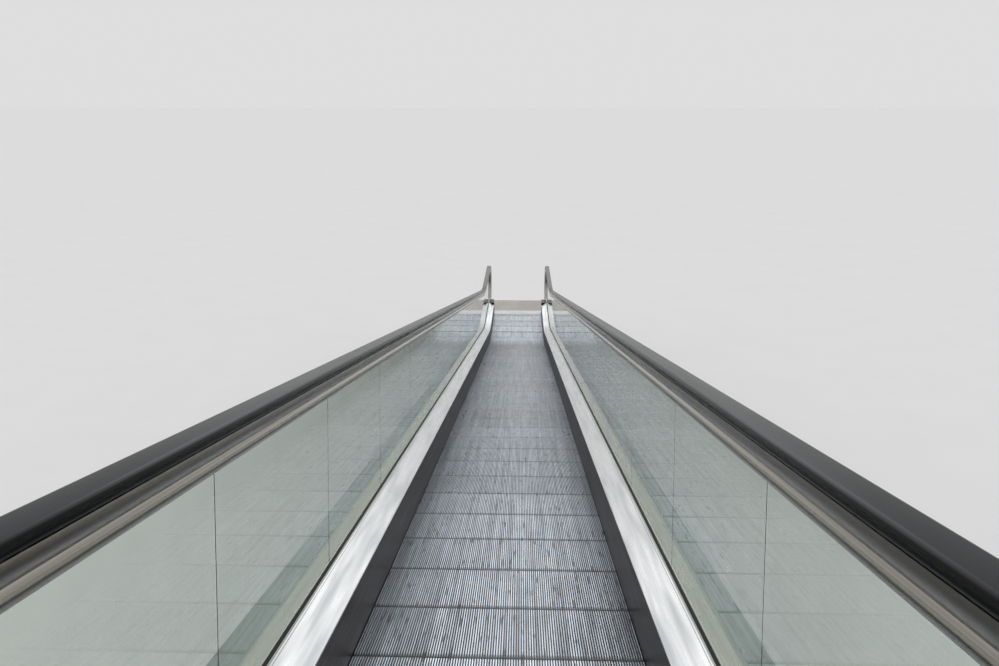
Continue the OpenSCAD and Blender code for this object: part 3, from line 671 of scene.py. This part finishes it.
def return_places():
    """Places of the pallets on the return run, upside down."""
    e = -RETURN_E - CHAIN_E
    return [place(station(s, e), e) @ turn_x(180) for s in pallet_stations()]


def end_places():
    """Places of the pallets half way round the two ends."""
    return [place(s, -TURN_E) @ turn_x(-90 * side) @ shift(0, 0, TURN_R + CHAIN_E)
            for s, side in ((S_TURN_LO, 1), (S_TURN_UP, -1))]


def profiled(bm, outline, x1, x2):
    """A solid from an outline in y and z, between two values of x."""
    verts = [bm.verts.new((x1, y, z)) for y, z in outline]
    carried(bm, bm.faces.new(verts), shift(x2 - x1, 0, 0), True)


def ribbed_pallet(rounded=False):
    """One pallet: a cast plate with end flanges, webs that hold the axle, and the tread ribs."""
    bm = bmesh.new()
    half = (PALLET_PITCH - PALLET_GAP) / 2
    step = (PALLET_W - RIB_W) / (RIBS - 1)
    under = 2 * MM - TREAD_T
    tops = [(-PALLET_W / 2, under)]
    for i in range(RIBS):
        left = -PALLET_W / 2 + i * step
        right = left + RIB_W
        tops += [(left, -RIB_DEPTH)] * (i > 0) + [(left, 0), (right, 0)]
        tops += [(right, -RIB_DEPTH)] * (i < RIBS - 1)
    tops.append((PALLET_W / 2, under))
    face = bm.faces.new([bm.verts.new((x, -half, z)) for x, z in tops])
    # The ribs' ends slope down by 6 mm, so that nothing catches where two pallets meet.
    ends = (-half, -half + RIB_END, half - RIB_END, half) if rounded else (-half, half)
    for before, after in zip(ends, ends[1:]):
        face = carried(bm, face, shift(0, after - before, 0), before == ends[0])
    if rounded:
        for vert in bm.verts:
            if vert.co.z > -MM and abs(vert.co.y) > half - MM:
                vert.co.z -= RIB_END_DROP
    # The casting under the ribs stands half a millimetre inside their ends.
    end = half - SUNK
    inner = end - CASTING_T
    plate = [(-end, -RIB_DEPTH - MM), (-end, -FLANGE_D), (-inner, -FLANGE_D), (-inner, -TREAD_T),
             (inner, -TREAD_T), (inner, -FLANGE_D), (end, -FLANGE_D), (end, -RIB_DEPTH - MM)]
    profiled(bm, plate, SUNK - PALLET_W / 2, PALLET_W / 2 - SUNK)
    top = half - CASTING_T / 2
    foot = top - 0.06
    web = [(-top, MM - TREAD_T), (-top, 2 * MM - FLANGE_D), (-foot, -PALLET_D),
           (foot, -PALLET_D), (top, 2 * MM - FLANGE_D), (top, MM - TREAD_T)]
    for x in (-WEB_FROM_MIDDLE, 0, WEB_FROM_MIDDLE):
        profiled(bm, web, x - CASTING_T / 2, x + CASTING_T / 2)
        rod(bm, BOSS_R, CASTING_T + MM,
            shift(x - (CASTING_T + MM) / 2, -AXLE_BACK, -CHAIN_E) @ turn_y(90), 16)
    return to_mesh(bm, "pallet")


def tread_piece(name, unit, places, shades, replaces=()):
    """Pallets at their places, with the attributes that their finish reads."""
    count = len(unit.vertices)
    heights = np.zeros(count * 3)
    unit.vertices.foreach_get("co", heights)
    heights = np.clip((heights.reshape(-1, 3)[:, 2] + RIB_DEPTH) / RIB_DEPTH, 0, 1)
    piece = many(name, unit, places, "pallet_aluminium", None, replaces)
    for key, values in (("rib_height", np.tile(heights, len(places))),
                        ("pallet_shade", np.repeat(shades, count))):
        attribute = piece.data.attributes.new(key, "FLOAT", "POINT")
        attribute.data.foreach_set("value", values.astype(np.float32))
    write_travel(piece.data)


def chain_places(pitch):
    """Places of the chain's joints, on both runs and round both ends."""
    places = []
    length = S_TURN_LO - S_TURN_UP
    count = round(length / pitch)
    for i in range(count):
        s = S_TURN_UP + (i + 0.5) * length / count
        places.append(place(station(s, -CHAIN_E), -CHAIN_E))
        places.append(place(station(s, -RETURN_E), -RETURN_E) @ turn_x(180))
    steps = round(math.pi * TURN_R / pitch)
    for s, side in ((S_TURN_LO, 1), (S_TURN_UP, -1)):
        for i in range(steps):
            angle = -side * 180 * (i + 0.5) / steps
            places.append(place(s, -TURN_E) @ turn_x(angle) @ shift(0, 0, TURN_R))
    return places


def length_field(name, description, default, low, high):
    """A length that the panel shows."""
    return bpy.props.FloatProperty(name=name, description=description, default=default, min=low,
                                   max=high, unit="LENGTH")


def colour_field(name, description, code):
    """A colour that the panel shows."""
    return bpy.props.FloatVectorProperty(name=name, description=description, default=srgb(code),
                                         subtype="COLOR", size=3)


class WalkSizes(bpy.types.PropertyGroup):
    """Sizes of the fine parts."""

    link_pitch: length_field(
        "Link pitch", "Distance between the joints of the pallet chain", 0.1333, 0.1, 0.2)
    seal_w: length_field(
        "Seal width", "Width of the rubber seal under the guide", 0.004, 0.002, 0.008)
    screw_r: length_field(
        "Screw radius", "Radius of the heads of the comb screws", 0.006, 0.003, 0.008)
    bolt_size: length_field(
        "Bolt size", "Width across the corners of a truss bolt's head", 0.028, 0.016, 0.04)
    floor_rib_pitch: length_field(
        "Landing rib pitch", "Distance between the ribs of the landing plates", 0.012, 0.009, 0.02)


class WalkColours(bpy.types.PropertyGroup):
    """Colours that a user would change."""

    tread_light: colour_field("Tread, worn", "Rib tops worn bright", "#dae2ea")
    tread_dark: colour_field("Tread, dull", "Rib tops with dirt rubbed in", "#9a9fa6")
    # The groove colour is dirt and painted shade in the grooves and on the sloped rib ends.
    groove_dirt_and_shade: colour_field("Groove", "Dirt in the grooves between the ribs", "#454342")
    glass: colour_field("Glass", "Tint of the balustrade glass", "#dfe8e2")
    floor: colour_field("Studio floor", "Colour of the studio floor", "#e6e5e2")


class Step:
    """A step of the build, which makes its pieces and is done."""

    def execute(self, context):
        self.make(context.scene)
        return {"FINISHED"}


class WALK_OT_finishes(Step, bpy.types.Operator):
    """Makes the finishes and gives every solid its own"""

    bl_idname = "walk.finishes"
    bl_label = "Finishes"

    def make(self, scene):
        FINISHES.update(make_materials(scene.walk_colours))
        for part in frame["record"]["subparts"]:
            node = frame["nodes"][part["node"]]
            node.data.materials.clear()
            node.data.materials.append(FINISHES[part["material_slot"]])


class WALK_OT_pallets(Step, bpy.types.Operator):
    """Makes the ribbed pallets of both runs"""

    bl_idname = "walk.pallets"
    bl_label = "Pallets"

    def make(self, scene):
        rng = np.random.default_rng(4)
        run = [place(s) for s in pallet_stations()]
        upper, lower = run[COMB_PALLETS:len(run) // 2], run[len(run) // 2:-COMB_PALLETS]
        combs = run[:COMB_PALLETS] + run[-COMB_PALLETS:]
        hidden = return_places() + end_places()
        # The pallets of the return run and round the ends lie inside the truss and are painted darker
        # than those on top: painted shade.
        for name, rounded, places, darkest, palest, replaces in (
                ("ribbed_pallets_upper", True, upper, 0.84, 1.06, ("pallets",)),
                ("ribbed_pallets_lower", True, lower, 0.84, 1.06, ()),
                ("ribbed_comb_pallets", False, combs, 0.9, 1.0,
                 ("lower_comb_pallets", "upper_comb_pallets")),
                ("ribbed_return_pallets", False, hidden, 0.7, 0.9, ("return_pallets",))):
            shades = rng.uniform(darkest, palest, len(places))
            tread_piece(name, ribbed_pallet(rounded), places, shades, replaces)


def chain_link(pitch):
    """One link of a chain: two side plates with round ends, a pin and a bush."""
    bm = bmesh.new()
    for x in (LINK_GAP, CHAIN_T - LINK_T - LINK_GAP):
        made = bmesh.ops.create_circle(bm, cap_ends=True, segments=12, radius=CHAIN_H / 2,
                                       matrix=shift(CHAIN_X + x, -pitch / 2, 0) @ turn_y(90)
                                       @ turn_z(15))
        far = [v for v in made["verts"] if v.co.y > -pitch / 2]
        bmesh.ops.translate(bm, vec=(0, pitch, 0), verts=far)
        carried(bm, made["verts"][0].link_faces[0], shift(LINK_T, 0, 0), True)
    rod(bm, PIN_R, CHAIN_T, shift(CHAIN_X, -pitch / 2, 0) @ turn_y(90), 10)
    rod(bm, BUSH_R, CHAIN_T - 2 * LINK_T - MM,
        shift(CHAIN_X + LINK_T + MM / 2, pitch / 2, 0) @ turn_y(90), 12)
    return to_mesh(bm, "link")


class WALK_OT_chains(Step, bpy.types.Operator):
    """Makes the pallet chains of links and pins, and the pallets' axles"""

    bl_idname = "walk.chains"
    bl_label = "Chains"

    def make(self, scene):
        pitch = scene.walk_sizes.link_pitch
        many("pallet_chain_links", chain_link(pitch), mirrored(chain_places(pitch)), "chain_steel",
             None, ("chain_left", "chain_right"))
        bm = bmesh.new()
        reach = CHAIN_X - LINK_GAP
        rod(bm, AXLE_R, 2 * reach, shift(-reach, -AXLE_BACK, -CHAIN_E) @ turn_y(90), 16)
        places = [place(s) for s in pallet_stations()] + return_places()
        many("pallet_axles", to_mesh(bm, "axle"), places, "shaft_steel", 40)


def quarter(x, z, radius, first, steps):
    """Points round a quarter circle, from a direction in degrees."""
    turns = [math.radians(first + 90 * k / steps) for k in range(steps + 1)]
    return [(x + radius * math.cos(turn), z + radius * math.sin(turn)) for turn in turns]


def rail_outline(corner_steps=8):
    """The handrail's outline in x and height: a rounded bar with a T-shaped slot underneath."""
    side, low, high = RAIL_W / 2 - RAIL_ROUND, RAIL_LOW + RAIL_ROUND, RAIL_TOP - RAIL_ROUND
    outline = [(MOUTH_W / 2, RAIL_LOW)]
    for x, e, first in ((side, low, -90), (side, high, 0), (-side, high, 90), (-side, low, 180)):
        outline += quarter(x, e, RAIL_ROUND, first, corner_steps)
    mouth, flange = MOUTH_W / 2, FLANGE_W / 2 + RUNNING_GAP
    slot = RAIL_LOW + LIP_H
    roof = slot + FLANGE_H + RUNNING_GAP
    return outline + [(-mouth, RAIL_LOW), (-mouth, slot), (-flange, slot), (-flange, roof),
                      (flange, roof), (flange, slot), (mouth, slot)]


def loop_frames(steps=10, newel_steps=28):
    """Places once round the handrail's loop, each for a section made at its height over the treads."""
    stops = bend_stations(S_LOOP_UP, S_LOOP_LO, steps)
    frames = [place(s) for s in stops]
    middle = shift(0, 0, -LOOP_E)
    for k in range(1, newel_steps):
        frames.append(place(S_LOOP_LO, LOOP_E) @ turn_x(-180 * k / newel_steps) @ middle)
    frames += [place(s, LOOP_E) @ turn_x(180) @ middle for s in reversed(stops)]
    for k in range(1, newel_steps):
        frames.append(place(S_LOOP_UP, LOOP_E) @ turn_x(180 - 180 * k / newel_steps) @ middle)
    return frames + [frames[0]]


class WALK_OT_handrails(Step, bpy.types.Operator):
    """Makes the handrails, one seamless moulded loop on each side"""

    bl_idname = "walk.handrails"
    bl_label = "Handrails"

    def make(self, scene):
        for side, name in ((-1, "left"), (1, "right")):
            bm = bmesh.new()
            ends = swept(bm, rail_outline(), loop_frames(), side * GLASS_X)
            bmesh.ops.delete(bm, geom=list(ends), context="FACES_ONLY")
            bmesh.ops.remove_doubles(bm, verts=bm.verts, dist=0.1 * MM)
            write_travel(finished("moulded_handrail_" + name, bm, "handrail_rubber", 40,
                                  ("handrail_" + name,)).data)


class WALK_OT_smooth_parts(Step, bpy.types.Operator):
    """Makes smooth copies of the round, folded, extruded and rolled parts"""

    bl_idname = "walk.smooth_parts"
    bl_label = "Round and folded parts"

    def make(self, scene):
        for side in ("left", "right"):
            for name, node, slot, angle, bevel in (
                    ("rolled_guide_", "handrail_guide_", "guide_stainless", 30, 0),
                    ("balustrade_panes_", "glass_", "balustrade_glass", 20, 0),
                    ("folded_inner_deck_", "inner_deck_", "deck_stainless", 14, 0.0012),
                    ("folded_outer_deck_", "outer_deck_", "outer_deck_stainless", 14, 0.0015),
                    ("extruded_clamp_", "glass_clamp_", "clamp_aluminium", 14, 0.0006),
                    ("coated_skirt_", "skirt_", "skirt_paint", 14, 0.0008)):
                smooth_copy(name + side, node + side, slot, angle, bevel)
        for name, node, slot, bevel in (
                ("chain_roller_tyres", "chain_rollers", "roller_plastic", 0),
                ("turn_shaft_lower", "lower_turn_shaft", "shaft_steel", 0),
                ("turn_shaft_upper", "upper_drive_shaft", "shaft_steel", 0),
                ("moulded_caps_lower", "lower_inlet_caps", "cap_plastic", 0.0015),
                ("moulded_caps_upper", "upper_inlet_caps", "cap_plastic", 0.0015),
                ("carrying_rails", "carrying_tracks", "track_steel", 0.0006),
                ("return_rails", "return_tracks", "track_steel", 0.0006),
                ("landing_frame_lower", "lower_landing_frame", "frame_steel", 0.0012),
                ("landing_frame_upper", "upper_landing_frame", "frame_steel", 0.0012)):
            smooth_copy(name, node, slot, 14 if bevel else 32, bevel)


class WALK_OT_combs(Step, bpy.types.Operator):
    """Makes the screws that hold the comb segments"""

    bl_idname = "walk.combs"
    bl_label = "Comb screws"

    def make(self, scene):
        radius = scene.walk_sizes.screw_r
        head_h, hexagon_h, sunk = 0.8 * MM, 0.3 * MM, 0.3 * MM
        bm = bmesh.new()
        rod(bm, radius, head_h, Matrix.Identity(4), 20)
        rod(bm, radius * 0.45, hexagon_h, shift(0, 0, head_h), 6)
        head = to_mesh(bm, "comb_screw")
        # The segments' tops slope down to the treads, and the heads lie flat on them.
        fall = turn_x(math.degrees(math.atan2(COMB_FALL, COMB_NOSE_L)))
        z = FLOOR_UP - COMB_FALL * SCREW_BACK / COMB_NOSE_L - sunk
        places = []
        for s, half_turn in ((S_COMB_LO, 0), (S_COMB_UP, 180)):
            end = place(s) @ turn_z(half_turn)
            for i in range(COMB_SEGMENTS):
                middle = (i - (COMB_SEGMENTS - 1) / 2) * PALLET_W / COMB_SEGMENTS
                for aside in (-SCREW_ASIDE, SCREW_ASIDE):
                    places.append(end @ shift(middle + aside, -SCREW_BACK, z) @ fall)
        many("comb_screws", head, places, "track_steel", finish="bolt")


class WALK_OT_landings(Step, bpy.types.Operator):
    """Makes the ribs of the landing plates"""

    bl_idname = "walk.landings"
    bl_label = "Landing ribs"

    def make(self, scene):
        pitch = scene.walk_sizes.floor_rib_pitch
        front = NEWEL_FROM_COMB - NEWEL_R
        # The ribs keep 12 mm from the frame at the sides and 8 mm from each plate's ends.
        half, margin = EDGE_X - FRAME_W - 12 * MM, 8 * MM
        rib_half, rib_h = 2.5 * MM, 1.5 * MM
        ribs = int(2 * half / pitch)
        bm = bmesh.new()
        for s, side, last in ((S_COMB_LO, 1, S_END - S_COMB_LO), (S_COMB_UP, -1, S_COMB_UP)):
            count = round((last - FRAME_W - front) / FLOOR_PLATE_L)
            length = (last - FRAME_W - front) / count
            for k in range(count):
                near, far = front + k * length + margin, front + (k + 1) * length - margin
                y = sorted((side * near, side * far))
                for i in range(ribs + 1):
                    x = -half + 2 * half * i / ribs
                    box(bm, (x - rib_half, x + rib_half), y, (FLOOR_UP - SUNK, FLOOR_UP + rib_h),
                        place(s))
        finished("landing_plate_ribs", bm, "floor_aluminium")


def glass_strips(width):
    """Rubber strips along the foot of the glass and under the handrail guides."""
    # The strips stop short of the newels, the lower ones by 300 mm and the upper ones by 10 mm.
    foot, head = ([place(s) for s in bend_stations(S_LOOP_UP + short, S_LOOP_LO - short)]
                  for short in (0.3, 0.01))
    near = GLASS_T / 2 + 0.2 * MM
    seat = CLAMP_TOP - SUNK
    bm = bmesh.new()
    for side in (-1, 1):
        # A broad strip lies against the glass on the inner side, a fine one on the outer side.
        glass, deck = side * (GLASS_X - near), side * (GLASS_X - near - 7 * MM)
        lean = side * 2 * MM
        swept(bm, [(glass, seat), (deck, seat), (deck, CLAMP_TOP + 1.5 * MM),
                   (deck + lean, CLAMP_TOP + 3 * MM), (glass - lean, CLAMP_TOP + 4.5 * MM),
                   (glass, CLAMP_TOP + 6 * MM)], foot)
        glass, deck = side * (GLASS_X + near), side * (GLASS_X + near + 3 * MM)
        swept(bm, [(glass, seat), (deck, seat), (deck, CLAMP_TOP + MM), (glass, CLAMP_TOP + 4 * MM)],
              foot)
        for face in (-1, 1):
            x = side * GLASS_X + face * near
            out = x + face * width
            swept(bm, [(x, GUIDE_LOW + MM), (out, GUIDE_LOW + MM), (out, GUIDE_LOW - MM),
                       (x, GUIDE_LOW - 3 * MM)], head)
    finished("glass_seals", bm, "handrail_rubber", finish="seal")


def pane_joints():
    """Rubber strips in the joints between the panes."""
    panes = round((S_C - S_B) / GLASS_L)
    joints = [(S_LOOP_UP + S_A) / 2, S_A] + [S_B + (S_C - S_B) * i / panes for i in range(panes + 1)]
    joints += [S_D, (S_LOOP_LO + S_D) / 2]
    thick, wide = GLASS_T / 2 - MM, GLASS_JOINT / 2 - 0.2 * MM
    bm = bmesh.new()
    for s in joints:
        for x in (-GLASS_X, GLASS_X):
            box(bm, (x - thick, x + thick), (-wide, wide), (CLAMP_TOP, GUIDE_LOW), place(s))
    finished("pane_joint_seals", bm, "handrail_rubber", finish="seal")


def inlet_collar():
    """A brush collar round the handrail where it runs into a cap."""
    corner, outside, wide, deep = 12 * MM, 11 * MM, 9.5 * MM, 6 * MM
    side, low = RAIL_W / 2 - corner, RAIL_IN_LOW + corner
    high = RAIL_IN_LOW + RAIL_TOP - RAIL_LOW - corner
    reach = corner + outside
    outline = []
    for x, z, first in ((side, high, 0), (-side, high, 90), (-side, low, 180), (side, low, 270)):
        outline += quarter(x, z, reach, first, 4)
    bm = bmesh.new()
    face = bm.faces.new([bm.verts.new((x, 0.2 * MM, z)) for x, z in outline])
    bmesh.ops.inset_region(bm, faces=[face], thickness=wide, use_boundary=True, use_even_offset=True)
    ring = [f for f in bm.faces if f is not face]
    bmesh.ops.delete(bm, geom=[face], context="FACES_ONLY")
    made = bmesh.ops.extrude_face_region(bm, geom=ring, use_keep_orig=True)
    bmesh.ops.translate(bm, vec=(0, deep, 0),
                        verts=[g for g in made["geom"] if isinstance(g, bmesh.types.BMVert)])
    return to_mesh(bm, "collar")


class WALK_OT_seals(Step, bpy.types.Operator):
    """Makes the rubber strips along the glass, between its panes and at the handrail inlets"""

    bl_idname = "walk.seals"
    bl_label = "Glass seals"

    def make(self, scene):
        glass_strips(scene.walk_sizes.seal_w)
        pane_joints()
        places = [place(s, 0, x) @ turn_z(half_turn)
                  for s, half_turn in ((S_LOOP_LO, 0), (S_LOOP_UP, 180)) for x in (-GLASS_X, GLASS_X)]
        many("inlet_collars", inlet_collar(), places, "handrail_rubber", 40, finish="seal")


class WALK_OT_truss_bolts(Step, bpy.types.Operator):
    """Makes the truss's gusset plates and their bolts"""

    bl_idname = "walk.truss_bolts"
    bl_label = "Gussets and bolts"

    def make(self, scene):
        radius = scene.walk_sizes.bolt_size / 2
        inner, outer = WEB_IN + WEB_T, WEB_IN + WEB_T + GUSSET_T
        # Three bolts along the chord and one above them, from the gusset's foot.
        on_gusset = ((-0.08, 0.03), (0, 0.03), (0, 0.09), (0.08, 0.03))
        bm = bmesh.new()
        bolts = []
        for i in range(1, BAYS):
            s = S_END * i / BAYS
            for e, up in ((-TRUSS_LOW + CHORD, 1), (-TRUSS_TOP - CHORD, -1)):
                where = place(s, e)
                box(bm, (inner, outer), (-GUSSET_HALF, GUSSET_HALF), sorted((0, up * GUSSET_H)),
                    where, 2 * MM)
                for y, z in on_gusset:
                    bolts.append(where @ shift(outer, y, up * z) @ turn_y(90))
        many("truss_gussets", to_mesh(bm, "gusset"), mirrored([Matrix.Identity(4)]), "truss_steel")
        bm = bmesh.new()
        washer_t, head_h = 2.5 * MM, 12 * MM
        rod(bm, radius * 1.15, washer_t, Matrix.Identity(4), 16)
        rod(bm, radius, head_h, shift(0, 0, washer_t), 6)
        many("truss_bolts", to_mesh(bm, "bolt"), mirrored(bolts), "track_steel", finish="bolt")


def drive_castings(bed):
    """The gearbox on its bed, with its covers, brake and finned motor."""
    bed_x, bed_y, brake_r, band_r, band_l = 0.26, 0.18, 0.071, 0.075, 0.012
    fins_h, cowl_z, cowl_h, core_r, cover_r = 0.248, 0.25, 0.05, MOTOR_R - 0.014, 0.11
    terminal_box = ((-0.05, 0.05), (0.1, 0.165), (0.52, 0.63))
    bm = bmesh.new()
    box(bm, (-bed_x, bed_x), (-bed_y, bed_y), (0, BED_TOP), bed, 4 * MM)
    sides = (-GEARBOX_HALF, GEARBOX_HALF)
    box(bm, sides, sides, (BED_TOP, GEARBOX_TOP), bed, 16 * MM)
    for y in (-GEARBOX_HALF - COVER_T, GEARBOX_HALF):
        rod(bm, cover_r, COVER_T, bed @ shift(0, y, COVER_Z) @ turn_x(-90), 40)
    # The motor: core, flange and fan cowl, then fins and terminal box.
    for radius, length, z in ((core_r, 0.27, 0), (MOTOR_R, MOTOR_FLANGE_T, 0), (MOTOR_R, cowl_h, cowl_z)):
        rod(bm, radius, length, bed @ shift(0, 0, GEARBOX_TOP + z), 40)
    for i in range(FINS):
        box(bm, (MOTOR_R - 0.02, MOTOR_R), (-1.8 * MM, 1.8 * MM),
            (GEARBOX_TOP + MOTOR_FLANGE_T, GEARBOX_TOP + fins_h), bed @ turn_z(360 * i / FINS))
    box(bm, *terminal_box, bed, 6 * MM)
    # Brake housing on the gearbox's side, with three raised bands.
    across = bed @ shift(-0.06, 0, COVER_Z) @ turn_y(-90)
    rod(bm, brake_r, 0.216, across, 36)
    for z in (0.09, 0.15, 0.207):
        rod(bm, band_r, band_l, across @ shift(0, 0, z), 36)
    finished("drive_unit_castings", bm, "drive_paint", 30, ("drive_unit",))


def drive_bolts(bed):
    """Bolts round the motor's flange, on the bed and round the gearbox's covers."""
    on_flange_r, on_cover_r, bed_bolt_x, bed_bolt_y = 0.111, 0.094, 0.225, 0.145
    bm = bmesh.new()
    rod(bm, 9 * MM, 7 * MM, Matrix.Identity(4), 6)
    turns = [turn_z(45 * k) for k in range(8)]
    around = [bed @ turn @ shift(on_flange_r, 0, GEARBOX_TOP + MOTOR_FLANGE_T) for turn in turns]
    on_bed = [bed @ shift(x, y, BED_TOP)
              for x in (-bed_bolt_x, bed_bolt_x) for y in (-bed_bolt_y, bed_bolt_y)]
    on_covers = [bed @ shift(0, side * (GEARBOX_HALF + COVER_T), COVER_Z) @ turn_x(-90 * side)
                 @ turn @ shift(on_cover_r, 0, 0) for side in (-1, 1) for turn in turns]
    many("drive_bolts", to_mesh(bm, "drive_bolt"), around + on_bed + on_covers, "track_steel",
         finish="bolt")


def wheel_teeth(pitch):
    """The wheels' teeth, which stand between the chains' side plates, one to a link."""
    bm = bmesh.new()
    middle = CHAIN_X + CHAIN_T / 2
    rim, tip = TURN_R - CHAIN_H / 2 - 2 * MM, TURN_R + 7 * MM
    foot_half, tip_half, thick_half = 30 * MM, 14 * MM, 2.5 * MM
    profiled(bm, [(-foot_half, rim), (-tip_half, tip), (tip_half, tip), (foot_half, rim)],
             middle - thick_half, middle + thick_half)
    teeth = round(2 * math.pi * TURN_R / pitch)
    places = [place(s, -TURN_E) @ turn_x(360 * (k + 0.5) / teeth)
              for s in (S_TURN_UP, S_TURN_LO) for k in range(teeth)]
    many("chain_wheel_teeth", to_mesh(bm, "wheel_tooth"), mirrored(places), "shaft_steel")


class WALK_OT_drive(Step, bpy.types.Operator):
    """Makes the drive's finned motor, gearbox and bed, and the teeth of the chain wheels"""

    bl_idname = "walk.drive"
    bl_label = "Drive and chain wheels"

    def make(self, scene):
        bed = place(DRIVE_S, -TRUSS_LOW)
        drive_castings(bed)
        drive_bolts(bed)
        wheel_teeth(scene.walk_sizes.link_pitch)


def studio_floor(scene):
    """A plain pale floor just under the walk."""
    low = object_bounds()[0][2]
    bm = bmesh.new()
    half, middle_y = 600, -12
    bmesh.ops.create_grid(bm, x_segments=1, y_segments=1, size=half,
                          matrix=shift(0, middle_y, low - MM))
    mesh = to_mesh(bm, "studio_floor")
    pale = scene.walk_colours.floor
    material, tree = new_material("studio_floor_paint")
    paint = mixed(tree, pattern(tree, 900), pale, [v * 0.985 for v in pale])
    mesh.materials.append(shaded(material, {"Base Color": paint, "Roughness": 0.9,
                                            "Specular IOR Level": 0.0}))
    floor = bpy.data.objects.new("studio_floor", mesh)
    scene.collection.objects.link(floor)
    floor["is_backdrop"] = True


def studio_light(scene):
    """A soft sky with one broad window in it, and a wide lamp overhead."""
    world = bpy.data.worlds.new("studio_light")
    world.use_nodes = True
    world.node_tree.nodes.clear()
    tree = world.node_tree
    way = add(tree, "ShaderNodeTexCoord").outputs["Generated"]
    split = add(tree, "ShaderNodeSeparateXYZ", {"Vector": way})
    along, height = split.outputs["Y"], split.outputs["Z"]
    aside = maths(tree, "ABSOLUTE", split.outputs["X"])

    def rises(value, start, end, low=0.0, high=1.0):
        return ranged(tree, value, low, high, start, end, interpolation_type="SMOOTHSTEP")

    # The window stands beyond the walk's lower end. It begins between 1 and 10 degrees up and fades
    # out between 31 and 41, and its sides fade out between 14 and 24 degrees from the middle.
    up = maths(tree, "MULTIPLY", rises(height, 0.02, 0.17), rises(height, 0.52, 0.66, 1, 0))
    across = maths(tree, "MULTIPLY", rises(aside, 0.24, 0.4, 1, 0), rises(along, 0.5, 0.7, 0.0, 1.15))
    window = maths(tree, "MULTIPLY", up, across)
    # The sky is bright overhead and dims towards the horizon, as a studio's ceiling and walls do.
    level = maths(tree, "ADD", rises(height, 0.0, 0.3, 0.48, 0.86), window)
    # The camera and the glass see a plain pale background instead.
    path = add(tree, "ShaderNodeLightPath").outputs
    seen = maths(tree, "MAXIMUM", path["Is Camera Ray"], path["Is Transmission Ray"])
    light = add(tree, "ShaderNodeBackground", {"Color": srgb("#f4f6f9", 1), "Strength": level})
    back = add(tree, "ShaderNodeBackground", {"Color": srgb("#dedede", 1), "Strength": 1.0})
    mix = add(tree, "ShaderNodeMixShader", {0: seen, 1: light.outputs[0], 2: back.outputs[0]})
    add(tree, "ShaderNodeOutputWorld", {"Surface": mix.outputs[0]})
    scene.world = world

    sky = bpy.data.lights.new("soft_sky", "SUN")
    sky.energy = 0.3
    sky.angle = math.radians(90)
    sky_object = bpy.data.objects.new("soft_sky", sky)
    sky_object.rotation_euler = (math.radians(8), 0, math.radians(15))
    scene.collection.objects.link(sky_object)


def photo_camera(scene):
    """The camera stands over the incline, 14.14 m before the lower bend's corner."""
    before_corner, over_treads, right_of_middle = 14.142, 1.358, 0.070
    down, left = math.radians(16.51), math.radians(1.62)
    camera = bpy.data.cameras.new("photo_camera")
    camera.lens = 28.24
    camera.sensor_width = 36
    camera.sensor_fit = "HORIZONTAL"
    camera.clip_end = 2000
    eye = bpy.data.objects.new("photo_camera", camera)
    eye.location = (right_of_middle, Y_CORNER_LO - before_corner,
                    Z_LO + before_corner * math.tan(INCLINE) + over_treads)
    eye.rotation_euler = (math.radians(90) - down, 0, left)
    scene.collection.objects.link(eye)
    scene.camera = eye


class WALK_OT_stage(Step, bpy.types.Operator):
    """Makes the studio: floor, lights and camera"""

    bl_idname = "walk.stage"
    bl_label = "Studio"

    def make(self, scene):
        studio_floor(scene)
        studio_light(scene)
        photo_camera(scene)
        scene.view_settings.view_transform = "Standard"


STEPS = (WALK_OT_finishes, WALK_OT_pallets, WALK_OT_chains, WALK_OT_handrails, WALK_OT_smooth_parts,
         WALK_OT_combs, WALK_OT_landings, WALK_OT_seals, WALK_OT_truss_bolts, WALK_OT_drive,
         WALK_OT_stage)


class WALK_PT_panel(bpy.types.Panel):
    """Lists the steps and the sizes of the walk."""

    bl_idname = "WALK_PT_panel"
    bl_label = "Moving walk"
    bl_space_type = "VIEW_3D"
    bl_region_type = "UI"
    bl_category = "Walk"

    def draw(self, context):
        for step in STEPS:
            self.layout.operator(step.bl_idname)
        for group in (context.scene.walk_sizes, context.scene.walk_colours):
            for key in group.bl_rna.properties.keys():
                if key not in ("rna_type", "name"):
                    self.layout.prop(group, key)


CLASSES = (WalkSizes, WalkColours, *STEPS, WALK_PT_panel)


def register():
    for item in CLASSES:
        bpy.utils.register_class(item)
    bpy.types.Scene.walk_sizes = bpy.props.PointerProperty(type=WalkSizes)
    bpy.types.Scene.walk_colours = bpy.props.PointerProperty(type=WalkColours)


def unregister():
    del bpy.types.Scene.walk_sizes
    del bpy.types.Scene.walk_colours
    for item in reversed(CLASSES):
        bpy.utils.unregister_class(item)


def main():
    """Registers the add-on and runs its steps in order."""
    register()
    for step in STEPS:
        group, name = step.bl_idname.split(".")
        getattr(getattr(bpy.ops, group), name)()


if __name__ == "__main__":
    main()
